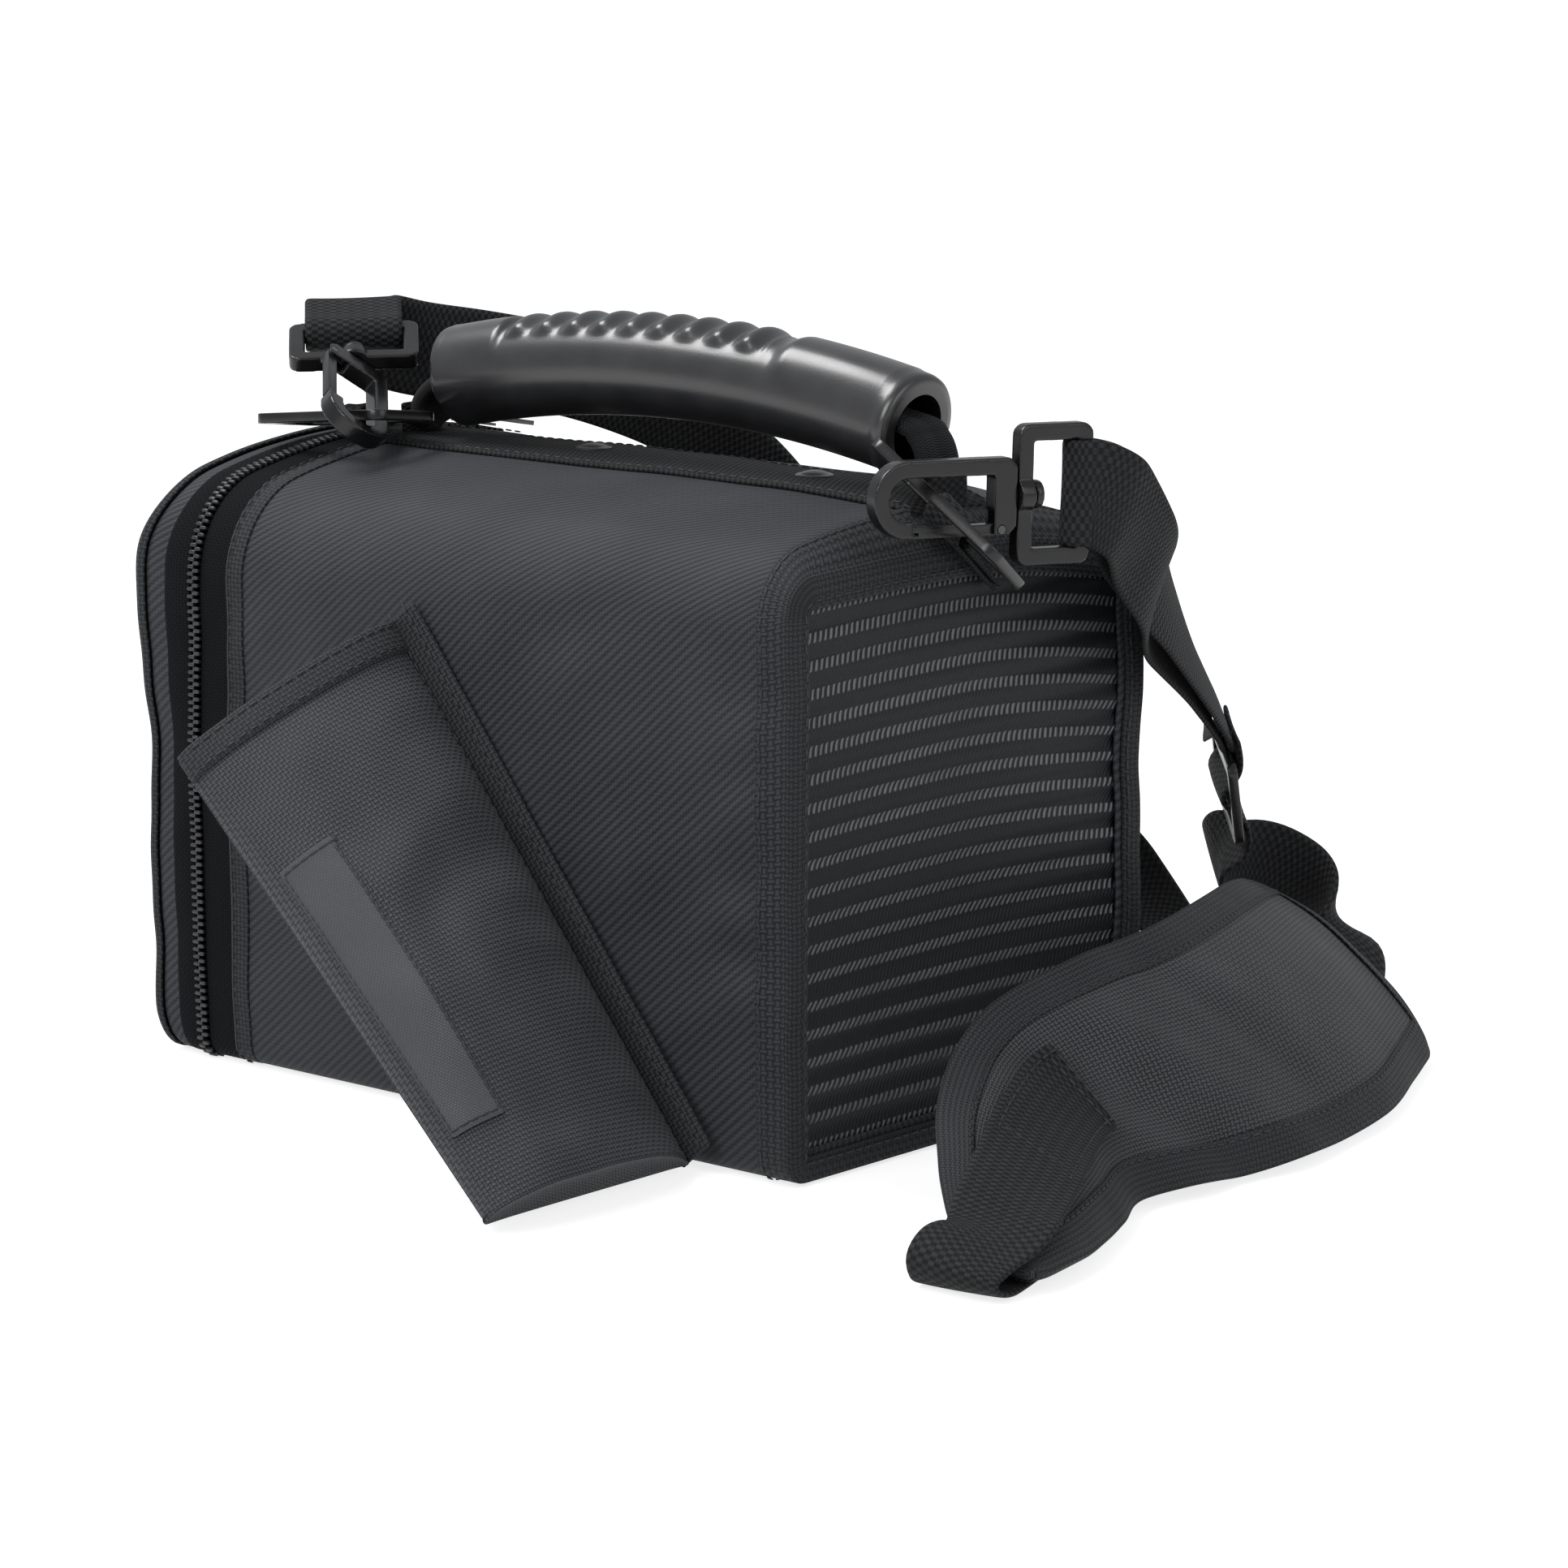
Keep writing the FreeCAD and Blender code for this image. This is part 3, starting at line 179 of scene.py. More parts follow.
set_camera()
set_floor()
set_world()
add_lamp("key_lamp", (-1.45, -0.2, 1.05), (0, 0, 0.08), 0.9, 15)
add_lamp("fill_lamp", (-0.1, -1.6, 0.9), (0, 0, 0.08), 1.2, 7)
add_lamp("rim_lamp", (-0.25, 0.75, 1.3), (0, 0, 0.15), 0.6, 13)
bpy.context.scene.view_settings.view_transform = "Standard"


# ---- finishes
class Finish(Tree):
    """A material under construction."""

    def __init__(self, name):
        self.mat = bpy.data.materials.new(name)
        super().__init__(self.mat)

    def bands(self, vector, pitch, along="X"):
        """Even bands of the given pitch in metres, from 0 to 1."""
        inputs = {"Scale": 2 * math.pi / (20 * pitch), "Distortion": 0.0, "Vector": vector}
        return self.node("ShaderNodeTexWave", inputs, wave_type="BANDS", bands_direction=along,
                         wave_profile="SIN").outputs["Fac"]

    def turned(self, vector, angle=0, shift=0.0):
        """The cloth's plane turned by an angle in degrees and shifted along Y in metres."""
        inputs = {"Vector": vector, "Location": (0, shift, 0), "Rotation": (0, 0, math.radians(angle))}
        return self.node("ShaderNodeMapping", inputs).outputs[0]

    def cloud(self, vector, size, detail=3.0):
        inputs = {"Scale": 1 / size, "Detail": detail, "Vector": vector}
        return self.node("ShaderNodeTexNoise", inputs).outputs["Fac"]

    def ramp(self, share, stops):
        made = self.node("ShaderNodeValToRGB", {"Fac": share})
        elements = made.color_ramp.elements
        while len(elements) < len(stops):
            elements.new(0.5)
        for element, (place, colour) in zip(elements, stops):
            element.position = place
            element.color = (*colour, 1)
        return made.outputs["Color"]

    def weave_shade_and_wear(self, height, vector, patch, start, dark, light):
        """Cloth colour with painted shade from its threads' height, low places darker and high ones lighter, and
        with wear in patches of a size in metres.
        """
        wear = self.maths("MULTIPLY", self.cloud(vector, patch, 4.0), 0.35)
        shade = self.maths("ADD", self.maths("MULTIPLY", height, 0.7), wear)
        return self.ramp(shade, [(start, dark), (0.95, light)])

    def uv(self):
        return self.node("ShaderNodeUVMap", uv_map="UVMap").outputs[0]

    def done(self, height, depth, **values):
        """The material with its bump height, the bump's depth in metres, and the shader's inputs."""
        bump = self.node("ShaderNodeBump", {"Distance": depth, "Strength": 1.0, "Height": height})
        values["Normal"] = bump.outputs[0]
        inputs = {key.replace("_", " "): value for key, value in values.items()}
        self.fill(self.nodes["Principled BSDF"], inputs)
        return self.mat


def woven_cloth(name, dark, light, thread, twill=0.0, depth=0.00012, rough=0.72, sheen=0.0, gloss=0.25):
    """Plain weave with a thread pitch in metres and, on pack cloth, a slanting line."""
    f = Finish(name)
    uv = f.uv()
    check = f.node("ShaderNodeTexChecker", {"Scale": 1 / thread, "Vector": uv}).outputs["Fac"]
    height = f.blend(check, f.bands(uv, thread, "X"), f.bands(uv, thread, "Y"))
    if twill:
        slant = f.bands(f.turned(uv, -38), twill, "X")
        height = f.maths("ADD", f.maths("MULTIPLY", height, 0.35), f.maths("MULTIPLY", slant, 0.65))
    # Colour follows the thread height: painted shade in the weave's hollows, plus wear patches.
    return f.done(height, depth, Base_Color=f.weave_shade_and_wear(height, uv, 0.03, 0.15, dark, light), Roughness=rough,
                  Sheen_Weight=sheen, Sheen_Roughness=0.5, Specular_IOR_Level=gloss)


def ribbed_webbing(name, dark, light, rib=0.0017, depth=0.0003):
    """Webbing: short cross ribs in staggered columns."""
    f = Finish(name)
    uv = f.uv()
    column = f.bands(uv, 0.0032, "X")
    across = f.bands(uv, rib, "Y")
    other = f.bands(f.turned(uv, shift=rib / 2), rib, "Y")
    ribs = f.blend(f.maths("GREATER_THAN", column, 0.5), across, other)
    height = f.maths("MULTIPLY", ribs, f.maths("ADD", f.maths("MULTIPLY", column, 0.3), 0.7))
    # Colour follows the ribs' height: painted shade between the ribs, plus wear patches.
    return f.done(height, depth, Base_Color=f.weave_shade_and_wear(height, uv, 0.02, 0.2, dark, light), Roughness=0.75,
                  Specular_IOR_Level=0.2, Sheen_Weight=0.02)


def knitted_mesh(name):
    """Rows of slanted threads, with a painted highlight on the thread crests and painted shade in the grooves
    between rows.
    """
    f = Finish(name)
    uv = f.uv()
    row = f.bands(uv, mesh_pitch * MM, "Y")
    thread = f.bands(f.turned(uv, 24), 0.00175, "X")
    crest = f.ramp(row, [(0.60, (0, 0, 0)), (0.80, (1, 1, 1))])
    fine = f.bands(f.turned(uv, 35), 0.0011, "X")
    lit = f.maths("MULTIPLY", f.maths("POWER", thread, 1.6), crest)
    lit = f.maths("MULTIPLY", lit, f.maths("ADD", f.cloud(uv, 0.025, 3.0), 0.35))
    shade = f.maths("ADD", lit, f.maths("MULTIPLY", fine, 0.12))
    # Painted highlight: the lit thread crests rise to a bright colour. Painted shade: the grooves stay near black.
    colour = f.ramp(shade, [(0.0, (0.003, 0.0035, 0.005)), (0.22, (0.009, 0.010, 0.012)),
                            (0.7, (0.17, 0.175, 0.18))])
    height = f.maths("ADD", f.maths("MULTIPLY", thread, crest), f.maths("MULTIPLY", fine, 0.3))
    return f.done(height, 0.0004, Base_Color=colour, Roughness=0.6, Specular_IOR_Level=0.3)


def moulded(name, colour, rough, depth=0.00003, coat=0.0, gloss=0.5):
    """Moulded rubber or plastic with a fine grain and slight handling wear."""
    f = Finish(name)
    at = f.node("ShaderNodeTexCoord").outputs["Object"]
    fine = f.cloud(at, 0.0006, 2.0)
    wear = f.cloud(at, 0.012, 5.0)
    lifted = tuple(min(c * 1.9 + 0.004, 1) for c in colour)
    height = f.maths("ADD", fine, f.maths("MULTIPLY", wear, 0.5))
    return f.done(height, depth, Base_Color=f.ramp(wear, [(0.35, colour), (0.8, lifted)]),
                  Roughness=f.blend(wear, rough - 0.06, rough + 0.12), Coat_Weight=coat,
                  Coat_Roughness=0.22, Specular_IOR_Level=gloss)


mesh_pitch = 6.95
shell_cloth = woven_cloth("shell_nylon", (0.0035, 0.0045, 0.006), (0.050, 0.055, 0.062), 0.0009,
                          twill=0.0018, rough=0.7, sheen=0.03)
pouch_cloth = woven_cloth("pouch_nylon", (0.003, 0.004, 0.0055), (0.058, 0.063, 0.070), 0.0012,
                          rough=0.68, depth=0.0002, sheen=0.05)
pad_cloth = woven_cloth("pad_cloth", (0.003, 0.0035, 0.0045), (0.070, 0.075, 0.080), 0.0013,
                        rough=0.72, depth=0.0002, sheen=0.05)
tape_cloth = woven_cloth("binding_tape", (0.003, 0.004, 0.005), (0.036, 0.039, 0.043), 0.0012,
                         depth=0.0002, rough=0.75, sheen=0.03)
zip_cloth = woven_cloth("zip_tape", (0.0015, 0.002, 0.0025), (0.007, 0.008, 0.0095), 0.0008,
                        rough=0.85, gloss=0.1)
lining_cloth = woven_cloth("lining_cloth", (0.02, 0.021, 0.023), (0.07, 0.072, 0.076), 0.0007, rough=0.8)
foam_grain = woven_cloth("foam_core", (0.05, 0.05, 0.052), (0.13, 0.13, 0.135), 0.0016, rough=0.9)
label_cloth = woven_cloth("plain_label", (0.035, 0.037, 0.040), (0.085, 0.088, 0.093), 0.0006, rough=0.6)
webbing = ribbed_webbing("webbing", (0.002, 0.0022, 0.0028), (0.029, 0.030, 0.032))
mesh_knit = knitted_mesh("mesh_knit")
grip_rubber = moulded("grip_rubber", (0.006, 0.006, 0.007), 0.34, coat=0.6)
hook_plastic = moulded("hook_plastic", (0.003, 0.003, 0.0035), 0.24, coat=0.15, gloss=0.35)
zip_plastic = moulded("zip_teeth", (0.010, 0.010, 0.012), 0.38)
dark_metal = moulded("dark_metal", (0.035, 0.034, 0.033), 0.33, coat=0.2)
board_plastic = moulded("board_plastic", (0.03, 0.03, 0.032), 0.55, depth=0.00008)
sewing_thread = moulded("sewing_thread", (0.008, 0.009, 0.011), 0.6)


def paint(piece, mat):
    piece.data.materials.clear()
    piece.data.materials.append(mat)


# ---- ways of making the pieces
def alone(piece):
    bpy.ops.object.select_all(action="DESELECT")
    piece.select_set(True)
    bpy.context.view_layer.objects.active = piece


def reshape(piece, *steps):
    """Take each (operator, its settings) over the whole mesh of a piece."""
    alone(piece)
    bpy.ops.object.mode_set(mode="EDIT")
    bpy.ops.mesh.select_all(action="SELECT")
    for step, settings in steps:
        step(**settings)
    bpy.ops.object.mode_set(mode="OBJECT")


weld = (bpy.ops.mesh.remove_doubles, {"threshold": 0.00001})


def apply_all(piece):
    alone(piece)
    for modifier in list(piece.modifiers):
        bpy.ops.object.modifier_apply(modifier=modifier.name)


def shade_even(piece):
    for face in piece.data.polygons:
        face.use_smooth = True


def cloth_grid(name, columns, rows, place, size, mat, thick=1.2, offset=-1.0, rounds=0, wrap=False):
    """A grid of cloth laid through place(u, v) in millimetres, its threads running along u and v."""
    bpy.ops.mesh.primitive_grid_add(x_subdivisions=columns, y_subdivisions=rows, size=1)
    piece = bpy.context.object
    mesh = piece.data
    piece.name = mesh.name = name
    spots = [(v.co.x + 0.5, v.co.y + 0.5) for v in mesh.vertices]
    layer = mesh.uv_layers.active or mesh.uv_layers.new()
    layer.name = "UVMap"
    for corner in mesh.loops:
        u, v = spots[corner.vertex_index]
        layer.data[corner.index].uv = (u * size[0] * MM, v * size[1] * MM)
    for vertex, (u, v) in zip(mesh.vertices, spots):
        vertex.co = place(u, v) * MM
    if wrap:
        reshape(piece, weld)
    if thick:
        wall = piece.modifiers.new("wall", "SOLIDIFY")
        wall.thickness = thick * MM
        wall.offset = offset
        wall.use_even_offset = False
    if rounds:
        soft = piece.modifiers.new("soft", "SUBSURF")
        soft.levels = soft.render_levels = rounds
    apply_all(piece)
    shade_even(piece)
    paint(piece, mat)
    return piece


def sharpen(piece, angle=40):
    alone(piece)
    bpy.ops.object.shade_smooth_by_angle(angle=math.radians(angle))


def settle(piece, body, slot, *nodes):
    """Let a finished piece ride on its body and stand for its nodes."""
    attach(piece, body)
    if nodes:
        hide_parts(*nodes)


def joined(name, pieces):
    bpy.ops.object.select_all(action="DESELECT")
    for piece in pieces:
        piece.select_set(True)
    bpy.context.view_layer.objects.active = pieces[0]
    bpy.ops.object.join()
    whole = bpy.context.object
    whole.name = whole.data.name = name
    return whole


def copies(name, model, frames, mat):
    """One mesh with the model's faces at each frame of (place in mm, along, up)."""
    points = [v.co.copy() for v in model.data.vertices]
    faces = [tuple(p.vertices) for p in model.data.polygons]
    verts, polys = [], []
    for place, along, up in frames:
        side = up.cross(along).normalized()
        along = along.normalized()
        top = along.cross(side)
        start = len(verts)
        verts += [place * MM + along * p.x + side * p.y + top * p.z for p in points]
        polys += [tuple(start + i for i in face) for face in faces]
    mesh = bpy.data.meshes.new(name)
    mesh.from_pydata(verts, [], polys)
    piece = bpy.data.objects.new(name, mesh)
    bpy.context.scene.collection.objects.link(piece)
    shade_even(piece)
    paint(piece, mat)
    bpy.data.objects.remove(model)
    return piece


def stitch_model():
    """One stitch: a short rounded float of thread along x."""
    bpy.ops.mesh.primitive_uv_sphere_add(segments=6, ring_count=5, radius=1, rotation=(0, math.pi / 2, 0))
    model = bpy.context.object
    bpy.ops.object.transform_apply(location=False, rotation=True, scale=False)
    reshape(model, (bpy.ops.transform.resize, {"value": (0.0013, 0.00034, 0.00026)}))
    return model


def stitches(name, path, pitch=3.4):
    """Stitches along a path of (place, up) in millimetres."""
    frames = []
    left = 0.0
    for (a, up_a), (b, up_b) in zip(path, path[1:]):
        run = (b - a).length
        if run < 1e-6:
            continue
        at = left
        while at < run:
            frames.append((a.lerp(b, at / run), (b - a), up_a.lerp(up_b, at / run)))
            at += pitch
        left = at - run
    return copies(name, stitch_model(), frames, sewing_thread)


def curve_through(points, share):
    """Point on the smooth line through the points; share runs from 0 to 1."""
    last = len(points) - 1
    at = min(max(share, 0.0), 1.0) * last
    i = min(int(at), last - 1)
    t = at - i
    p0 = points[max(i - 1, 0)]
    p1, p2 = points[i], points[i + 1]
    p3 = points[min(i + 2, last)]
    return 0.5 * ((2 * p1) + (p2 - p0) * t + (2 * p0 - 5 * p1 + 4 * p2 - p3) * t * t
                  + (3 * p1 - p0 - 3 * p2 + p3) * t ** 3)


# ---- the case's outline
half_width = 65.0
front_y, back_y = -106.0, 106.0
zip_y = 88.5
foot_radius = 5.0
outline_length = 525.0
# place along the case, crown height, the crown's rise from the shoulders, shoulder radius
stations = ((front_y, 143.5, 1.5, 9.0), (-95, 153.0, 5.0, 18.0), (-20, 153.6, 6.5, 20.0),
            (58, 153.0, 6.5, 25.0), (back_y, 153.0, 6.5, 25.0))
# shares of the way round: half the bottom, foot, side, shoulder, then the whole crown
shares = (0.114, 0.015, 0.222, 0.065, 0.168)
# height, and how far the lid's edge stands back there
rim_places = ((-2, -4.0), (11, 0.8), (40, 1.0), (78, 0.2), (98, 2.6), (127, 4.6), (150, -1.0), (160, -1.0))


def top_at(y):
    y = min(max(y, front_y), back_y)
    for low, high in zip(stations, stations[1:]):
        if y <= high[0]:
            share = (y - low[0]) / (high[0] - low[0])
            if low[0] == front_y:
                share = math.sin(share * math.pi / 2) ** 0.9
            return [a + (b - a) * share for a, b in zip(low[1:], high[1:])]


def outline(t, y, inset):
    """Point (x, z) of the case's outline: t goes from the bottom's middle round by the -X side."""
    crown, rise, radius = top_at(y)
    low = max(inset, 0.0)
    side = half_width - inset
    foot = max(foot_radius - inset, 1.0)
    turn = math.pi / 2 - 2 * math.atan(rise / (half_width - radius))
    corner = max(radius - inset, 1.5)
    shoulder_x = side - corner + corner * math.cos(turn)
    centre_z = crown - inset - rise - corner * math.sin(turn)
    t = t % 1.0
    mirrored = t > 0.5
    if mirrored:
        t = 1.0 - t
    for index, share in enumerate(shares[:4]):
        if t < share:
            break
        t -= share
    else:
        index = 4
        share = shares[4] / 2
    s = t / share
    if index == 0:
        x, z = -(side - foot) * s, low
    elif index == 1:
        a = math.pi / 2 * s
        x, z = -(side - foot) - foot * math.sin(a), low + foot - foot * math.cos(a)
    elif index == 2:
        x, z = -side, low + foot + (centre_z - low - foot) * s
    elif index == 3:
        a = turn * s
        x, z = -(side - corner + corner * math.cos(a)), centre_z + corner * math.sin(a)
    else:
        x = -shoulder_x * (1 - s)
        z = crown - inset - rise * (x / shoulder_x) ** 2
    return (-x if mirrored else x), z


def slump(point):
    """How the soft case departs from its plain outline, the same for cloth, padding and tape."""
    x, y, z = point
    lift = V(0, 0, 0)
    high = smooth(95, 150, z)
    fore = 1 - smooth(front_y, -58, y)
    lift.z -= high * fore * 7.5 * max(x / 66, 0) ** 1.6
    lift.z -= high * fore * 0.8
    side = smooth(0.55, 0.98, abs(x) / 65) * smooth(4, 30, z) * (1 - smooth(110, 150, z))
    middle = max(0.0, 1 - abs(y) / 118)
    lift.x += math.copysign(1.4, x) * side * middle ** 0.7
    lift.x += side * 1.3 * ripple(point, 36, 3.1)
    lift.x += side * 0.9 * ripple((x, y * 0.55, z * 1.2 + y * 0.7), 17, 9.7)
    lift.x += side * 0.5 * hump(y, -92, 9) * math.sin(z / 3.6 + 2 * ripple(point, 25, 1.9))
    lift.z += smooth(120, 150, z) * 0.55 * ripple(point, 30, 5.2)
    if y > zip_y:
        rear = (y - zip_y) / (back_y - zip_y)
        lift.y += rear * rim_shift(z) * smooth(0.5, 0.9, abs(x) / 65 + smooth(120, 150, z) * 0.5)
    return lift


def rim_shift(z):
    """How far the lid's edge stands back at each height."""
    for (z0, d0), (z1, d1) in zip(rim_places, rim_places[1:]):
        if z <= z1:
            s = (z - z0) / (z1 - z0)
            return d0 + (d1 - d0) * s * s * (3 - 2 * s)
    return rim_places[-1][1]


def on_case(t, y, inset=0.0):
    x, z = outline(t, y, inset)
    outer_x, outer_z = outline(t, y, 0.0)
    point = V(x, y, z) + slump(V(outer_x, y, outer_z))
    point.z = max(point.z, 0.0)
    return point


def case_normal(t, y):
    round_by = on_case(t + 0.004, y) - on_case(t - 0.004, y)
    along = on_case(t, y + 1.0) - on_case(t, y - 1.0)
    return round_by.cross(along).normalized()


def on_band(y0, y1, inset=0.0):
    """Places round the case for cloth from y0 to y1."""
    return lambda u, v: on_case(u, y0 + v * (y1 - y0), inset)


# Cover, padding and lining
padding_front, padding_rear = -103.4, 82.4
cover = cloth_grid("case_cover", 168, 60, on_band(-104.8, 86.4), (outline_length, 191), shell_cloth,
                   rounds=1, wrap=True)
settle(cover, "case", "shell_nylon", "outer_cover")
foam = cloth_grid("case_padding", 90, 30, on_band(padding_front, padding_rear, 1.25),
                  (outline_length, 186), foam_grain, thick=6.9, wrap=True)
sharpen(foam)
settle(foam, "case", "foam", "foam_padding")
inner = cloth_grid("case_lining", 90, 40, on_band(padding_front, padding_rear, 8.25),
                   (outline_length, 186), lining_cloth, thick=0.8, wrap=True)
sharpen(inner)
settle(inner, "case", "lining", "lining")

# Front window
border_width = 8.0
mesh_low, mesh_half = 4.5, 60.5


def border_place(u, v):
    return on_case(u, front_y + 0.2 * (1 - v), border_width * (1 - v))


def mesh_place(u, v):
    x = -mesh_half + 2 * mesh_half * u
    crown, rise, radius = top_at(front_y)
    top = crown - rise * (x / (half_width - 4)) ** 2 - 5.0
    top -= 7.0 * max(x / 66, 0) ** 1.6
    z = mesh_low + (top - mesh_low) * v
    rib = math.sin(math.pi * (z - mesh_low) / mesh_pitch) ** 2
    y = -104.1 - 0.75 * rib + 0.35 * ripple((x, 0, z), 22, 4.4)
    y += 1.4 * math.sin(math.pi * u) * math.sin(math.pi * v)
    return V(x, max(y, -105.0), z)


border = cloth_grid("window_border", 168, 5, border_place, (outline_length, border_width), shell_cloth,
                    thick=1.1, rounds=1, wrap=True)
settle(border, "case", "shell_nylon", "front_border")
window = cloth_grid("window_mesh", 48, 160, mesh_place, (2 * mesh_half, 139), mesh_knit, thick=0.5)
settle(window, "case", "mesh", "front_mesh")

# inset and y across the tape that binds the front edge
binding_path = ((6.4, -106.1), (6.3, -106.9), (3.5, -107.25), (0.9, -107.2), (-0.6, -106.6),
                (-1.0, -105.4), (-0.95, -102), (-0.9, -98.4), (-0.85, -97.1), (-0.1, -96.9))


def binding_place(u, v):
    inset, y = lookup(binding_path, v)
    pucker = 0.16 * ripple((u * 525, y, 0), 7, 2.2)
    point = on_case(u, max(y, front_y), inset - pucker)
    point.y += min(y - front_y, 0.0) - abs(pucker) * 0.4
    point.z = max(point.z, 0.35)
    return point


edge_tape = cloth_grid("front_edge_tape", 210, 18, binding_place, (outline_length, 17), tape_cloth,
                       thick=0.5, rounds=1, wrap=True)
settle(edge_tape, "case", "binding_tape", "front_binding")


def around(y, inset, low, high, steps=240):
    """Seam round the case from t = low to high."""
    turns = [low + (high - low) * i / steps for i in range(steps + 1)]
    return [(on_case(t, y, inset), case_normal(t, y)) for t in turns]


seam = stitches("front_edge_stitches_side", around(-98.6, -0.95, 0.10, 0.90))
settle(seam, "case", "binding_tape")
face_path = []
for i in range(241):
    point = on_case(0.02 + 0.96 * i / 240, front_y, 5.0)
    face_path.append((V(point.x, -107.22, point.z), V(0, -1, 0)))
settle(stitches("front_edge_stitches_face", face_path), "case", "binding_tape")

# Zip round three sides
zip_low, zip_high = -0.074, 0.578
zip_length = outline_length * (zip_high - zip_low)
tooth_pitch = 1.9


def zip_at(u):
    return zip_low + (zip_high - zip_low) * u


def tape_place(y0, y1, proud):
    """Places for tape beside the zip, slightly swollen along its middle."""
    return lambda u, v: on_case(zip_at(u), y0 + (y1 - y0) * v, -proud - 0.21 * math.sin(math.pi * v))


tape = cloth_grid("zip_tape_cloth", 130, 6, tape_place(76.6, 86.9, 0.35), (zip_length, 10), zip_cloth,
                  thick=0.7, rounds=1)
settle(tape, "case", "zip_tape", "zip_tape_case")
fold = cloth_grid("zip_cover_fold", 130, 6, tape_place(71.5, 77.6, 0.5), (zip_length, 6), tape_cloth,
                  thick=0.8, rounds=1)
settle(fold, "case", "binding_tape")
seam = stitches("zip_fold_stitches", around(76.2, -1.15, zip_low + 0.01, zip_high - 0.01, 200))
settle(seam, "case", "binding_tape")


def tooth_model():
    """One zip tooth: a rounded bar with a swollen tip, pointing along y."""
    bpy.ops.mesh.primitive_cube_add(size=1)
    model = bpy.context.object
    reshape(model, (bpy.ops.transform.resize, {"value": (0.00085, 0.0021, 0.0012)}),
            (bpy.ops.mesh.bevel, {"offset": 0.00026, "segments": 2, "affect": "EDGES"}))
    for vertex in model.data.vertices:
        if vertex.co.y > 0.0005:
            vertex.co.x *= 1.25
    return model


def teeth(name, y, direction, shift):
    frames = []
    count = int(zip_length / tooth_pitch)
    for i in range(count):
        t = zip_at((i + shift) / count)
        along = on_case(t + 0.003, 86.0) - on_case(t - 0.003, 86.0)
        point = on_case(t, 86.0, -0.8)
        point.y = y
        point.z = max(point.z, 0.3)
        frames.append((point, along * direction, case_normal(t, 86.0)))
    return copies(name, tooth_model(), frames, zip_plastic)


settle(teeth("zip_teeth_row_case", 87.6, 1, 0.25), "case", "zip_teeth", "zip_teeth_case")
settle(teeth("zip_teeth_row_lid", 89.35, -1, 0.75), "rear_lid", "zip_teeth", "zip_teeth_lid")

# Cloth hinge on the +X side, running from the case to the lid
hinge_low, hinge_high = 14.0, 121.5


def hinge_place(u, v):
    z = hinge_low + (hinge_high - hinge_low) * (1 - u)
    y = 79.6 + 17.9 * v
    side_x = max(on_case(0.75, y).x, half_width)
    return V(side_x + 0.75 + 0.8 * hump(y, zip_y, 1.1), y, z)


hinge = cloth_grid("hinge_cloth", 40, 24, hinge_place, (107, 18), tape_cloth, thick=0.7)
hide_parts("hinge_tape_case", "hinge_tape_lid")
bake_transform(hinge)


# ---- rear lid
def gusset_place(u, v):
    return on_case(u, 90.6 + v * 13.9, 0.1 + 1.2 * smooth(0.8, 1, v))


def lid_tape_place(u, v):
    return on_case(zip_at(u), 90.0 + v * 7.5, -0.3 - 0.3 * math.sin(math.pi * v))


def piping_place(u, v):
    angle = math.pi * (1.15 * v - 0.2)
    y = 104.6 + 2.2 * math.sin(angle)
    return on_case(u, min(y, back_y), 1.6 - 2.2 * math.cos(angle)) + V(0, max(y - back_y, 0), 0)


gusset = cloth_grid("lid_gusset_cloth", 168, 8, gusset_place, (outline_length, 14), shell_cloth,
                    thick=2.0, rounds=1, wrap=True)
settle(gusset, "rear_lid", "shell_nylon", "lid_gusset")
lid_tape = cloth_grid("lid_zip_tape", 130, 5, lid_tape_place, (zip_length, 7), zip_cloth, thick=0.6, rounds=1)
settle(lid_tape, "rear_lid", "zip_tape")
piping = cloth_grid("lid_piping_tape", 168, 12, piping_place, (outline_length, 8), tape_cloth, thick=0.6,
                    rounds=1, wrap=True)
settle(piping, "rear_lid", "binding_tape", "lid_piping")


class Rim:
    """A closed rim, filled by a cloth whose threads run straight across and up."""

    def __init__(self, place):
        points = [place(i / 1440) for i in range(1440)]
        self.low, self.high = min(a.z for a in points), max(a.z for a in points)
        self.wide = max(a.x for a in points)
        self.middle = (self.low + self.high) / 2
        self.points = sorted((math.atan2(a.z - self.middle, a.x), a) for a in points)
        self.bearings = [bearing for bearing, a in self.points]

    def at(self, p, q):
        """Point inside for p and q, from -1 to 1 across and up."""
        x, z = p * self.wide, q * (self.high - self.low) / 2
        reach = max(abs(p), abs(q))
        if reach < 0.05:
            return V(x, 0, self.middle + z)
        i = bisect.bisect_left(self.bearings, math.atan2(z, x)) % len(self.points)
        edge = self.points[i][1]
        out = math.hypot(edge.x, edge.z - self.middle) * reach / math.hypot(x, z)
        share = 1 + reach ** 5 * (out - 1)
        return V(x * share, edge.y, self.middle + z * share)


panel_rim = Rim(lambda t: on_case(t, back_y, 2.6))
lining_y = 100.7


def lining_edge(t):
    x, z = outline(t, 100, 4.6)
    return V(x, lining_y, z)


lining_rim = Rim(lining_edge)


def panel_place(u, v):
    p, q = 1 - 2 * u, 2 * v - 1
    point = panel_rim.at(p, q)
    rise = ((1 - abs(p) ** 3.5) * (1 - abs(q) ** 3.5)) ** 0.6
    level = 105.2 + (point.y - back_y) * max(abs(p), abs(q)) ** 24
    point.y = level + 5.0 * rise + 0.7 * rise * ripple(point, 30, 6.6)
    return point


def lid_lining_place(u, v):
    point = lining_rim.at(2 * u - 1, 2 * v - 1)
    point.y = lining_y
    return point


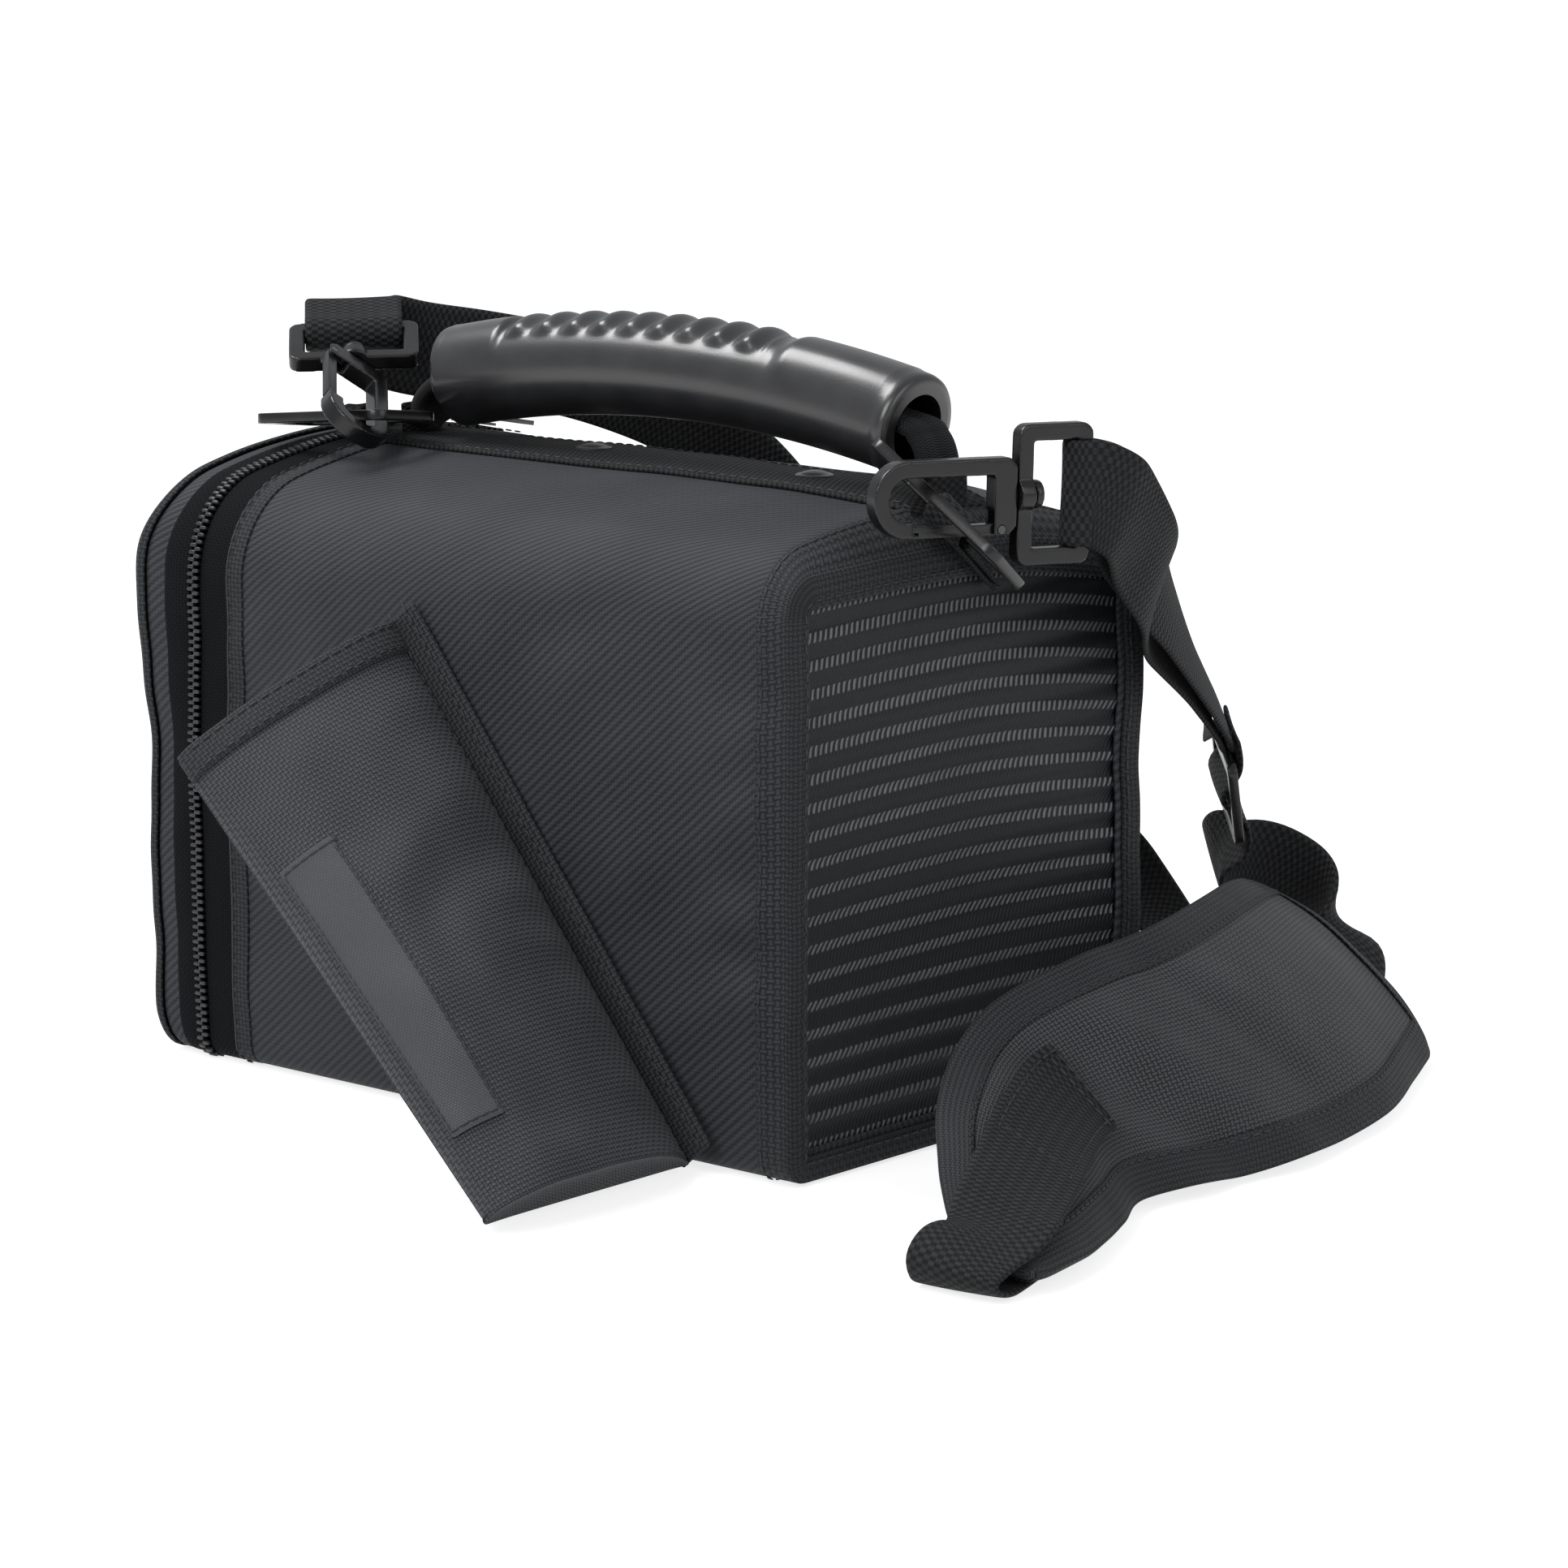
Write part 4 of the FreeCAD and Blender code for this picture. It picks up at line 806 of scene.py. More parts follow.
panel = cloth_grid("lid_back_cloth", 60, 70, panel_place, (128, 148), shell_cloth, thick=1.4)
settle(panel, "rear_lid", "shell_nylon", "lid_panel")
lid_inner = cloth_grid("lid_lining_cloth", 40, 46, lid_lining_place, (124, 144), lining_cloth, thick=0.8)
settle(lid_inner, "rear_lid", "lining", "lid_lining")


# ---- webbing strip, rivets and handle
def crown_point(x, y, lift):
    crown, rise, radius = top_at(y)
    z = crown - rise * (x / (half_width - radius)) ** 2
    return V(x, y, z + slump(V(x, y, z)).z + lift)


def strip_place(u, v):
    y = -100.4 + v * 184.4
    x = (u - 0.5) * 30 + 0.25 * ripple((0, y, 0), 14, 1.1)
    return crown_point(x, y, 0.75 + 0.2 * ripple((x, y, 0), 20, 3.7))


strip = [cloth_grid("top_strip_webbing", 14, 110, strip_place, (30, 190), webbing, thick=1.4, offset=0,
                    rounds=1)]
for index, (tab_y, tab_low) in enumerate(((-100.1, 148.0), (72.7, 153.6))):
    def tab_place(u, v):
        return V((u - 0.5) * 14, tab_y + 0.7 + 0.5 * v * v, tab_low + v * (162.0 - tab_low))
    strip.append(cloth_grid("strip_end_%d" % index, 8, 8, tab_place, (14, 12), webbing, thick=1.4, offset=0,
                            rounds=1))
settle(joined("top_strip_webbing", strip), "case", "webbing", "top_strip")
for side, name in ((-1, "left"), (1, "right")):
    line = [(crown_point(side * 13.2, -98 + i * 1.5, 1.5), V(0, 0, 1)) for i in range(121)]
    settle(stitches("strip_stitches_" + name, line), "case", "webbing")

# radius and height of a rivet's head
rivet_profile = ((4.6, 0.0), (4.65, 0.35), (4.3, 0.55), (3.7, 0.62), (2.8, 1.05), (1.6, 1.36), (0.0, 1.5))


def rivet_cap(name, y):
    """Domed rivet head with a thin flat rim, seated on the strip."""
    seat = crown_point(0, y, 1.35)

    def place(u, v):
        radius, height = lookup(rivet_profile, v)
        return seat + V(radius * math.cos(2 * math.pi * u), radius * math.sin(2 * math.pi * u), height)

    head = cloth_grid(name + "_head", 32, 18, place, (10, 10), dark_metal, thick=0, wrap=True)
    sharpen(head, 35)
    settle(head, "case", "metal", name)


rivet_cap("rivet_front", -58.0)
rivet_cap("rivet_rear", 14.0)

# Moulded grip: a tube on an arch, with a rolled rim in front and scalloped ribs on top
arch_radius, arch_middle, arch_top = 350.89, -15.5, 176.6
arch_centre_z = arch_top - arch_radius
grip_radius, grip_bore = 12.0, 8.4
# y and radius from the rolled rim along the outside and back through the bore
grip_profile = [(-90, grip_bore), (-90.0, 10.6), (-89.9, 12.2), (-89.3, 12.9), (-88.2, 13.2), (-87.0, 13.0),
                (-85.8, 12.4), (-84.4, 12.05)]
grip_profile += [(-84.4 + i * 0.72, grip_radius) for i in range(1, 196)]
grip_profile += [(57.2, 12.1), (58.3, 12.0), (58.85, 11.5), (59.0, 10.6)]
grip_profile += [(y, grip_bore) for y in (59.0, 40, 10, -20, -50, -75, -90)]


def arch_point(y, out, x):
    angle = math.asin((y - arch_middle) / arch_radius)
    radius = arch_radius + out
    return V(x, arch_middle + radius * math.sin(angle), arch_centre_z + radius * math.cos(angle))


def grip_height(y, angle):
    """Extra height of the moulding at a place along the grip and an angle from its top."""
    if y > 58.5 or y < -89.5:
        return 0.0
    over = 1 - smooth(0.56, 0.84, abs(angle))
    seat = smooth(-55, -50, y) * (1 - smooth(36, 38.5, y))
    shoulders = 1.5 * (1 - seat) * smooth(-88, -84, y) * (1 - smooth(0.3, 1.5, abs(angle)))
    phase = (35.0 - y) / 9.2
    if not 0 <= phase <= 9:
        return shoulders
    part = phase - math.floor(phase)
    if part < 0.74:
        rib = math.sin(math.pi * part / 0.74) ** 1.3
    else:
        rib = -0.3 * math.sin(math.pi * (part - 0.74) / 0.26)
    return over * seat * (0.3 + 1.35 * rib) + shoulders


def grip_place(u, v):
    y, radius = grip_profile[min(int(round(v * (len(grip_profile) - 1))), len(grip_profile) - 1)]
    angle = 2 * math.pi * (u if u <= 0.5 else u - 1)
    if radius > 9:
        radius += grip_height(y, angle)
    return arch_point(y, radius * math.cos(angle), radius * math.sin(angle))


grip = cloth_grid("grip_moulding", 88, len(grip_profile) - 1, grip_place, (75, 150), grip_rubber, thick=0,
                  wrap=True)
sharpen(grip, 50)
settle(grip, "handle", "grip_rubber", "handle_grip")

leg_path = [V(0, y, z) for y, z in ((-96, 150.4), (-96.2, 156), (-96, 162), (-93.5, 167), (-88, 169.8),
                                    (-60, 173.6), (-15, 176.5), (30, 173.7), (56, 169.6), (64, 167.4),
                                    (69, 163), (70.2, 158), (70, 155.6))]


def leg_place(u, v):
    point = curve_through(leg_path, v)
    ahead = curve_through(leg_path, min(v + 0.01, 1)) - curve_through(leg_path, max(v - 0.01, 0))
    out = V(1, 0, 0).cross(ahead.normalized())
    angle = 2 * math.pi * u
    c, s = math.cos(angle), math.sin(angle)
    round_end = smooth(0, 0.17, v) * (1 - smooth(0.92, 1, v))
    wide = 6.9 * math.copysign(abs(c) ** 0.55, c) * (0.36 + 0.64 * round_end)
    deep = 2.15 * math.copysign(abs(s) ** 0.7, s) * (1 + 0.08 * ripple(point, 9, 8.1))
    crease = 0.5 * hump(wide, 0, 1.1) if s > 0 else 0
    return point + V(1, 0, 0) * wide + out * (deep - crease)


legs = cloth_grid("handle_legs", 40, 120, leg_place, (38, 210), webbing, thick=0, wrap=True)
settle(legs, "handle", "webbing", "handle_webbing")


# ---- hooks, rings and sliders
def eased(node, name, mat, width, segments=3):
    """The node's own form with its edges rounded over as from a mould; no width rounds it all over."""
    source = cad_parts[node]
    mesh = source.data.copy()
    piece = bpy.data.objects.new(name, mesh)
    bpy.context.scene.collection.objects.link(piece)
    piece.matrix_world = source.matrix_world.copy()
    mesh.materials.clear()
    alone(piece)
    bpy.ops.object.transform_apply(location=True, rotation=True, scale=True)
    reshape(piece, weld, (bpy.ops.mesh.dissolve_limited, {"angle_limit": math.radians(2)}))
    if width is None:
        skin = piece.modifiers.new("skin", "REMESH")
        skin.mode = "VOXEL"
        skin.voxel_size = 0.30 * MM
        ease = piece.modifiers.new("ease", "SMOOTH")
        ease.factor = 0.5
        ease.iterations = 12
        apply_all(piece)
        shade_even(piece)
    else:
        edge = piece.modifiers.new("edge", "BEVEL")
        edge.width = width * MM
        edge.segments = segments
        edge.limit_method = "ANGLE"
        edge.angle_limit = math.radians(28)
        edge.harden_normals = False
        edge.use_clamp_overlap = True
        apply_all(piece)
        sharpen(piece, 60)
    paint(piece, mat)
    return piece


for node, body, width in (("hook_front", "hook_front", None), ("hook_rear", "hook_rear", None),
                          ("gate_front", "gate_front", 0.45), ("gate_rear", "gate_rear", 0.45),
                          ("ring_front", "ring_front", 0.35), ("ring_rear", "ring_rear", 0.35),
                          ("eye_front", "case", None), ("eye_rear", "case", None),
                          ("strap_slider", "case", 0.6)):
    settle(eased(node, node + "_moulding", hook_plastic, width), body, "hard_plastic", node)
for node in ("zip_slider", "zip_pull"):
    settle(eased(node, node + "_casting", dark_metal, 0.16, 2), node, "zip_metal", node)


# ---- strap webbing
def run_of(*rows):
    """(place, width direction) pairs from rows of six numbers."""
    return [(V(*row[:3]), V(*row[3:])) for row in rows]


def evenly(places, step):
    """Places spaced evenly along the smooth line through (centre, width direction)."""
    count = (len(places) - 1) * 16
    centres, widths = zip(*places)
    fine = [(curve_through(centres, i / count), curve_through(widths, i / count)) for i in range(count + 1)]
    runs = [0.0]
    for (a, w), (b, x) in zip(fine, fine[1:]):
        runs.append(runs[-1] + (b - a).length)
    total = runs[-1]
    rows = max(int(total / step), 4)
    spots = []
    k = 0
    for row in range(rows + 1):
        at = total * row / rows
        while k < len(runs) - 2 and runs[k + 1] < at:
            k += 1
        share = (at - runs[k]) / max(runs[k + 1] - runs[k], 1e-9)
        spots.append([a.lerp(b, share) for a, b in zip(fine[k], fine[k + 1])])
    return spots, total


def webbing_run(name, places, width=25.0, thick=1.4, step=2.4, columns=10, sway=0.4):
    """Flat webbing along its places, with the slight cupping and sway of real tape."""
    spots, total = evenly(places, step)
    rows = len(spots) - 1
    frames = []
    for i, (centre, across) in enumerate(spots):
        ahead = (spots[min(i + 1, rows)][0] - spots[max(i - 1, 0)][0]).normalized()
        side = (across - ahead * across.dot(ahead)).normalized()
        frames.append((centre, side, ahead.cross(side)))

    def place(u, v):
        centre, side, normal = frames[min(int(round(v * rows)), rows)]
        s = 2 * u - 1
        flat = centre + side * (s * width / 2)
        return flat + normal * (0.35 * (s * s - 0.4) + sway * ripple(flat, 26, 7.3))

    piece = cloth_grid(name, columns, rows, place, (width, total), webbing, thick=thick, offset=0, rounds=1)
    return piece, total


slide_centre = V(108, -102, 70)
slide_along = unit(0.25, 0.05, -0.97)
slide_out = unit(0.68, 0.68, 0.21).cross(slide_along).normalized()
slide_width = slide_along.cross(slide_out)


def on_slide(*spots):
    """Places of webbing in the slider, from (along, out) of its middle."""
    return [(slide_centre + slide_along * x + slide_out * z, slide_width) for x, z in spots]


def eye_places(nose, axis, side, up, angles):
    """Places of webbing round the bar of a hook's eye."""
    places = []
    for angle in angles:
        a = math.radians(angle)
        places.append((nose + axis * (56.4 - 3.95 * math.cos(a)) + side * (3.95 * math.sin(a)), up))
    return places


front_eye = eye_places(V(-42.98, -111.72, 158.11), V(0.94, -0.34, -0.03), V(0.3401, 0.9404, 0),
                       V(0.0282, -0.0102, 0.9995), (125, 90, 60, 30, 0, -30, -60, -90, -125))
outer_layer = run_of((21, -131, 153.5, 0.1, -0.1, 1), (32, -128, 144.5, 0.4, -0.15, 0.9),
                     (45, -124, 133.5, 0.6, 0.1, 0.78), (62, -118.5, 120, 0.55, 0.45, 0.7),
                     (84, -110, 103, 0.55, 0.62, 0.5)) + on_slide((-18, 0), (-12.2, 0))
inner_layer = run_of((20, -136.5, 151.5, 0.1, -0.1, 1), (31, -133, 141.5, 0.4, -0.2, 0.88),
                     (44, -128, 130, 0.55, 0.05, 0.8), (59, -114.5, 118, 0.55, 0.45, 0.7),
                     (82, -107.5, 102, 0.55, 0.62, 0.5)) + on_slide((-18, 2.6), (-12.2, 2.6))
front_run, front_length = webbing_run("front_strap_webbing", outer_layer[::-1] + front_eye + inner_layer,
                                      step=1.6)
settle(front_run, "case", "webbing", "strap_front")

# Shoulder pad
pad_lower = [V(-99, -206, 4.5), V(-76, -202, 4.5), V(-50, -191, 4), V(-28, -180, 3.5), V(-2, -182, 3),
             V(30, -184, 3), V(72, -176, 3), V(106, -161, 3), V(137, -146, 3)]
pad_upper = [V(-93, -178, 9), V(-79, -163, 18), V(-60, -148, 29), V(-38, -142, 42), V(-13, -148, 51),
             V(12, -150, 54), V(47, -138, 53), V(86, -119, 49), V(120, -100, 42)]
pad_full = [(4.5 * full,) for full in (0.15, 0.7, 1.0, 1.0, 1.0, 1.0, 1.0, 1.0, 0.6)]
pad_turn, pad_length, pad_wide = 150, 262, 36
pad_steps = 150


def pad_frame(s):
    low, high = curve_through(pad_lower, s), curve_through(pad_upper, s)
    a, b = min(s + 0.02, 1.0), max(s - 0.02, 0.0)
    ahead = ((curve_through(pad_lower, a) + curve_through(pad_upper, a))
             - (curve_through(pad_lower, b) + curve_through(pad_upper, b))).normalized()
    across = (high - low).normalized()
    return (low + high) / 2, across, ahead.cross(across).normalized(), ahead, (high - low).length / 2


def pad_crown(s):
    return lookup(pad_full, min(max(s, 0), 1))[0]


def pad_relief(s, w):
    """Creases and swells of the pad's face: s along it, w from its lower edge, -1, to its upper, 1."""
    ridge = 3.2 * hump(s + 0.10 * w, 0.52, 0.035) * (1 - smooth(0.5, 1.0, w))
    valley = -3.6 * hump(s + 0.12 * w, 0.42, 0.04)
    pinch = 3.4 * hump(s, 0.47, 0.04) * hump(w, -1, 0.45)
    fold = -2.4 * hump(s + 0.07 * w, 0.63, 0.025) * smooth(-1, -0.4, w)
    spot = (s * 260, w * 30, 0)
    return ridge + valley + pinch + fold + 1.5 * ripple(spot, 32, 12.3) + 0.6 * ripple(spot, 12, 2.3)


def quarter(x, reach):
    """0 at x = 0, rising like a quarter circle to 1 at x = reach."""
    return math.sqrt(1 - (1 - min(max(x / reach, 0), 1)) ** 2)


def pad_point(s, w, rise, top, lift, floor):
    """Place on the pad's upper or lower face: rise is the swell's share, lift a height over the face."""
    middle, across, normal, ahead, half = pad_frame(s)
    half *= 0.72 + 0.28 * min(quarter(s, 0.05), quarter(1 - s, 0.05))
    bow = 6.0 * smooth(0.8, 1.0, s) + 3.0 * (1 - smooth(0.0, 0.12, s))
    rise *= quarter(1 - s, 0.015) * quarter(s, 0.015)
    height = (2.0 + pad_crown(s) * (1 - w * w)) * rise + lift if top else -2.0 * rise - lift
    height += pad_relief(s, w) * (0.8 if top else 0.5) * (1 - 0.4 * abs(w))
    direction = ahead if s > 0.5 else -ahead
    point = middle + across * (half * w) + normal * height + direction * (bow * (1 - w * w))
    point.z = max(point.z, floor)
    return point


def pad_across(angle):
    return math.copysign(abs(math.cos(angle)) ** 0.6, math.cos(angle))


def pad_place(u, v):
    angle = 2 * math.pi * u
    q = math.sin(angle)
    return pad_point(v, pad_across(angle), abs(q) ** 0.55, q > 0, 0, 0.4)


def pad_surface(s, w, top, lift):
    """Place a lift over the pad's face, for tape and stitches."""
    rise = (1 - abs(w) ** 3.3) ** 0.45 if abs(w) < 1 else 0.0
    return pad_point(s, w, rise, top, lift, 0.3)


pad = cloth_grid("shoulder_pad_cushion", 72, pad_steps, pad_place, (pad_turn, pad_length), pad_cloth,
                 thick=0, wrap=True)
for corner in pad.data.uv_layers.active.data:
    corner.uv.x = pad_wide * MM * pad_across(2 * math.pi * corner.uv.x / (pad_turn * MM))
settle(pad, "case", "pad_cloth", "shoulder_pad")


def pad_edge_tape(name, edge):
    """Binding along one long edge (edge -1 or 1) of the pad, wrapped over both faces."""
    def place(u, v):
        s = 0.012 + 0.976 * v
        middle, across, normal, ahead, half = pad_frame(s)
        reach = 8.5 / half
        if u < 0.45:
            return pad_surface(s, edge * (1 - reach * (1 - u / 0.45)), True, 0.55)
        if u > 0.55:
            return pad_surface(s, edge * (1 - reach * 0.8 * (u - 0.55) / 0.45), False, 0.5)
        turn = (u - 0.45) / 0.1
        out = pad_surface(s, edge * 0.999, turn < 0.5, 0.4)
        return out + across * (edge * 0.9 * math.sin(math.pi * turn))
    return cloth_grid(name, 24, pad_steps, place, (18, pad_length), tape_cloth, thick=0.5, offset=0, rounds=1)


def pad_end_tape(name, far):
    def place(u, v):
        s = (1 - 0.034 * (1 - u)) if far else 0.036 * (1 - u)
        return pad_surface(s, -0.97 + 1.94 * v, True, 0.6)
    return cloth_grid(name, 10, 40, place, (9, 60), tape_cloth, thick=0.5, offset=0, rounds=1)


band = joined("pad_edge_tape", [pad_edge_tape("pad_tape_low", -1), pad_edge_tape("pad_tape_high", 1),
                                pad_end_tape("pad_tape_near", False), pad_end_tape("pad_tape_far", True)])
settle(band, "case", "pad_cloth", "pad_binding")
for edge, name in ((-1, "low"), (1, "high")):
    line = []
    for i in range(300):
        s = 0.03 + 0.94 * i / 299
        middle, across, normal, ahead, half = pad_frame(s)
        line.append((pad_surface(s, edge * (1 - 7.3 / half), True, 0.95), normal))
    settle(stitches("pad_stitches_" + name, line), "case", "pad_cloth")


def over_pad(s, lift):
    """A place over (lift is positive) or under the middle of the pad, and the pad's width direction."""
    middle, across, normal, ahead, half = pad_frame(s)
    return middle + normal * lift, across


# Webbing from the slider under the pad
under_pad = [over_pad(i / 8, -4.9) for i in range(8, 1, -1)]
threaded = on_slide((-16, -2.4), (-7.3, -2.4), (-1.8, 2.5), (1.8, 2.5), (7.3, -2.4), (15, -2.4))
to_pad = run_of((112.5, -97.5, 51, 0.6, 0.75, 0.1), (120, -90, 44, 0.4, 0.6, 0.7), (129, -88, 42, 0.1, 0.1, 1),
                (140, -90, 41, -0.2, 0.1, 1), (148, -98, 35, -0.3, 0.3, 0.9), (150, -108, 27, -0.32, 0.55, 0.75),
                (144, -114, 21, -0.28, 0.7, 0.65))
main_run, main_length = webbing_run("main_strap_webbing", threaded + to_pad + under_pad, sway=0.15)
settle(main_run, "case", "webbing", "strap_main")

# Webbing from the pad's top round its near end, along the floor and up to the rear hook
on_pad = [over_pad(s, 2.0 + pad_crown(s) + 1.6) for s in (0.385, 0.34, 0.25, 0.16, 0.08, 0.015)]
pad_fold = run_of((-104, -192, 10.2, -0.1, 0.95, 0.22), (-108.5, -191.6, 8, -0.05, 0.95, 0.2),
                  (-110, -191.4, 5.6, -0.05, 0.95, 0.16), (-108.6, -191.2, 2.7, -0.1, 0.95, 0.06),
                  (-104, -190.6, 1.0, -0.2, 0.95, 0))
on_floor = run_of((-84, -184, 1.0, -0.35, 0.9, 0), (-60, -172, 1.0, -0.4, 0.9, 0), (-30, -161, 1.0, -0.2, 1, 0),
                  (2, -157, 1.0, 0, 1, 0), (36, -155, 1.0, -0.1, 1, 0), (66, -148, 1.0, -0.35, 0.9, 0))
up_side = run_of((90, -134, 2.2, -0.7, 0.7, 0), (106, -116, 8, -0.9, 0.3, 0.1), (112, -96, 20, -0.9, 0, 0.3),
                 (110, -76, 35, -0.7, 0.3, 0.1), (102, -57, 51, -0.4, 0.7, -0.3), (91, -40, 69, -0.2, 0.85, -0.5),
                 (82, -23, 89, -0.1, 0.85, -0.5), (77, -7, 108, 0, 0.85, -0.5), (75, 10, 126, 0, 0.8, -0.6),
                 (72, 25, 141, 0, 0.75, -0.65), (66, 40, 152, 0, 0.7, -0.7), (57, 54, 160, 0, 0.55, -0.8),
                 (46, 70, 166, 0, 0.4, -0.9), (34, 84, 169, -0.1, 0.2, -1), (22, 96, 171.5, -0.25, 0.25, -0.9),
                 (11, 104, 175, -0.5, 0.5, -0.5))
rear_nose, rear_axis, rear_side = V(-39.0, 58.29, 158.1), V(0.661, 0.666, 0.3455), V(-0.2615, -0.2272, 0.9381)
rear_up = V(-0.7033, 0.7105, -0.024)
rear_eye = eye_places(rear_nose, rear_axis, rear_side, rear_up, (-120, -90, -60, -30, 0, 30, 60, 90, 120))
tail = [(rear_nose + rear_axis * 68.4 + rear_side * 3.95, rear_up)]
rear_run, rear_length = webbing_run("rear_strap_webbing", on_pad + pad_fold + on_floor + up_side + rear_eye + tail,
                                    sway=0.12)
settle(rear_run, "case", "webbing", "strap_rear")


def on_webbing(s, across_by):
    """Place for a stitch in the webbing that lies on the pad."""
    middle, across, normal, ahead, half = pad_frame(s)
    return middle + normal * (2.0 + pad_crown(s) + 2.5) + across * across_by, normal


seam_half = 10.2
sewn = [[on_webbing(0.375 - 0.19 * i / 30, side * seam_half) for i in range(31)] for side in (-1, 1)]
sewn += [[on_webbing(s, -seam_half + 2 * seam_half * i / 12) for i in range(13)] for s in (0.378, 0.362, 0.20)]
rows = [stitches("webbing_end_row_%d" % i, path, pitch=3.0) for i, path in enumerate(sewn)]
settle(joined("webbing_end_stitches", rows), "case", "webbing")


def keeper(name, node, centre, along, across, shift, width, tail_length, low):
    """Webbing loop round the ring's far bar, its two ends laid together to be sewn down."""
    normal = along.cross(across)
    ends = (9 + tail_length, 9 + tail_length * 0.6, 12.5)
    spots = [(y, low + 1.8) for y in ends]
    for angle in (-20, 30, 90, 150, 210, 260):
        a = math.radians(angle)
        spots.append((9 + 3.49 * math.cos(a), 3.49 * math.sin(a)))
    spots += [(y, low + 0.6) for y in ends[::-1]]
    places = [(centre + along * shift + across * y + normal * z, along) for y, z in spots]
    piece, length = webbing_run(name, places, width=width, thick=1.15, step=0.9, columns=6, sway=0.05)
    settle(piece, "case", "webbing", node)


keeper("front_ring_keeper", "ring_keeper_front", V(-19.56, -115.42, 152.98), unit(-0.071, -0.8597, -0.5058),
       unit(0.8266, 0.2314, -0.513), -3.0, 13.0, 26.0, -4.08)
keeper("rear_ring_keeper", "ring_keeper_rear", V(-22.67, 78.13, 159.31), unit(0.0199, 0.9938, -0.1093),
       unit(0.9921, -0.0304, -0.1215), 4.0, 8.0, 9.0, -1.0)

# ---- pouch
pouch_tr, pouch_br = V(-67.2, 17.6, 119), V(-68.5, -78.8, 1.6)
pouch_bl, pouch_tl = V(-138, -79.5, 1.6), V(-117, 41, 89.5)
pouch_out = (pouch_tl - pouch_tr).cross(pouch_br - pouch_tr).normalized()
pouch_width, pouch_height = 72, 152
# how deep the pouch is down its height, and how much of that depth it has across its width
pouch_rows = (0.0, 0.12, 0.3, 0.5, 0.7, 0.86, 1.0)
pouch_depths = (9.0, 14.0, 20.0, 24.0, 23.0, 21.0, 19.0)
pouch_columns = (0.0, 0.08, 0.2, 0.4, 0.55, 0.7, 0.94, 1.0)
pouch_full = (0.0, 0.5, 0.82, 1.0, 1.0, 0.94, 0.45, 0.0)


def between(x, xs, ys):
    """Smooth value at x of the line through the points (xs, ys)."""
    last = len(xs) - 1
    i = min(max(bisect.bisect_left(xs, x) - 1, 0), last - 1)
    before, after = max(i - 1, 0), min(i + 2, last)
    width = xs[i + 1] - xs[i]
    t = (x - xs[i]) / width
    m1 = (ys[i + 1] - ys[before]) / (xs[i + 1] - xs[before]) * width
    m2 = (ys[after] - ys[i]) / (xs[after] - xs[i]) * width
    return ((2 * t ** 3 - 3 * t ** 2 + 1) * ys[i] + (t ** 3 - 2 * t ** 2 + t) * m1
            + (-2 * t ** 3 + 3 * t ** 2) * ys[i + 1] + (t ** 3 - t ** 2) * m2)


def pouch_base(u, v):
    top = pouch_tr.lerp(pouch_tl, u)
    return top.lerp(pouch_br.lerp(pouch_bl, u), v)


def pouch_lift(u, v):
    """Height of the pouch's face over its back panel, with its wrinkles."""
    full = max(between(u, pouch_columns, pouch_full), 0.0)
    depth = between(min(v, 1.0), pouch_rows, pouch_depths)
    spot = (u * 72, v * 150, 0)
    wrinkle = 2.2 * ripple(spot, 32, 5.5) + 1.0 * ripple(spot, 14, 1.4)
    wrinkle += 1.1 * hump(u, 0, 0.2) * math.sin(v * 44 + 3 * ripple((0, v * 150, 0), 30, 2.6))
    wrinkle += 2.0 * hump(v - 0.20 * u, 0.30, 0.05) * smooth(0, 0.25, u) * (1 - smooth(0.5, 0.75, u))
    wrinkle -= 2.0 * hump(v - 0.16 * u, 0.42, 0.05) * smooth(0, 0.2, u) * (1 - smooth(0.4, 0.7, u))
    wrinkle -= 1.6 * hump(v + 0.08 * u, 0.93, 0.045) * (1 - smooth(0.5, 0.9, u))
    return 1.4 + (depth - 1.4) * full + wrinkle * full * smooth(0, 0.12, v)


def on_pouch(u, v, over=0.0):
    """Place a height over the pouch's face."""
    return pouch_base(u, v) + pouch_out * (pouch_lift(u, v) + over)


bottom_share = 0.16


def pouch_place(u, v):
    """The face, then the bottom turned in to the back panel."""
    turn = v * (1 + bottom_share)
    if turn <= 1.0:
        return on_pouch(u, turn)
    share = (turn - 1.0) / bottom_share
    inward = 1.8 * math.sin(math.pi * share) * (1 - abs(2 * u - 1) ** 3)
    return pouch_base(u, 1.0 - 0.006 * inward) + pouch_out * (pouch_lift(u, 1.0) * (1 - share) + 0.3)


def back_place(u, v):
    return pouch_base(u, v) - pouch_out * 0.1


def hem_place(u, v):
    return on_pouch(u, v * 9.2 / pouch_height, 0.65 - 0.35 * (2 * v - 1) ** 2)


def edge_place(u, v):
    run = (pouch_br - pouch_tr).normalized()
    aside = V(0, run.z, -run.y).normalized()
    start = pouch_tr.lerp(pouch_br, v) + aside * (-1.5 + 11.4 * u)
    puff = 0.9 * math.sin(math.pi * u) + 0.25 * ripple((u * 9, v * 150, 0), 9, 3.3)
    return start + V(-0.7 - puff, 0, 0)


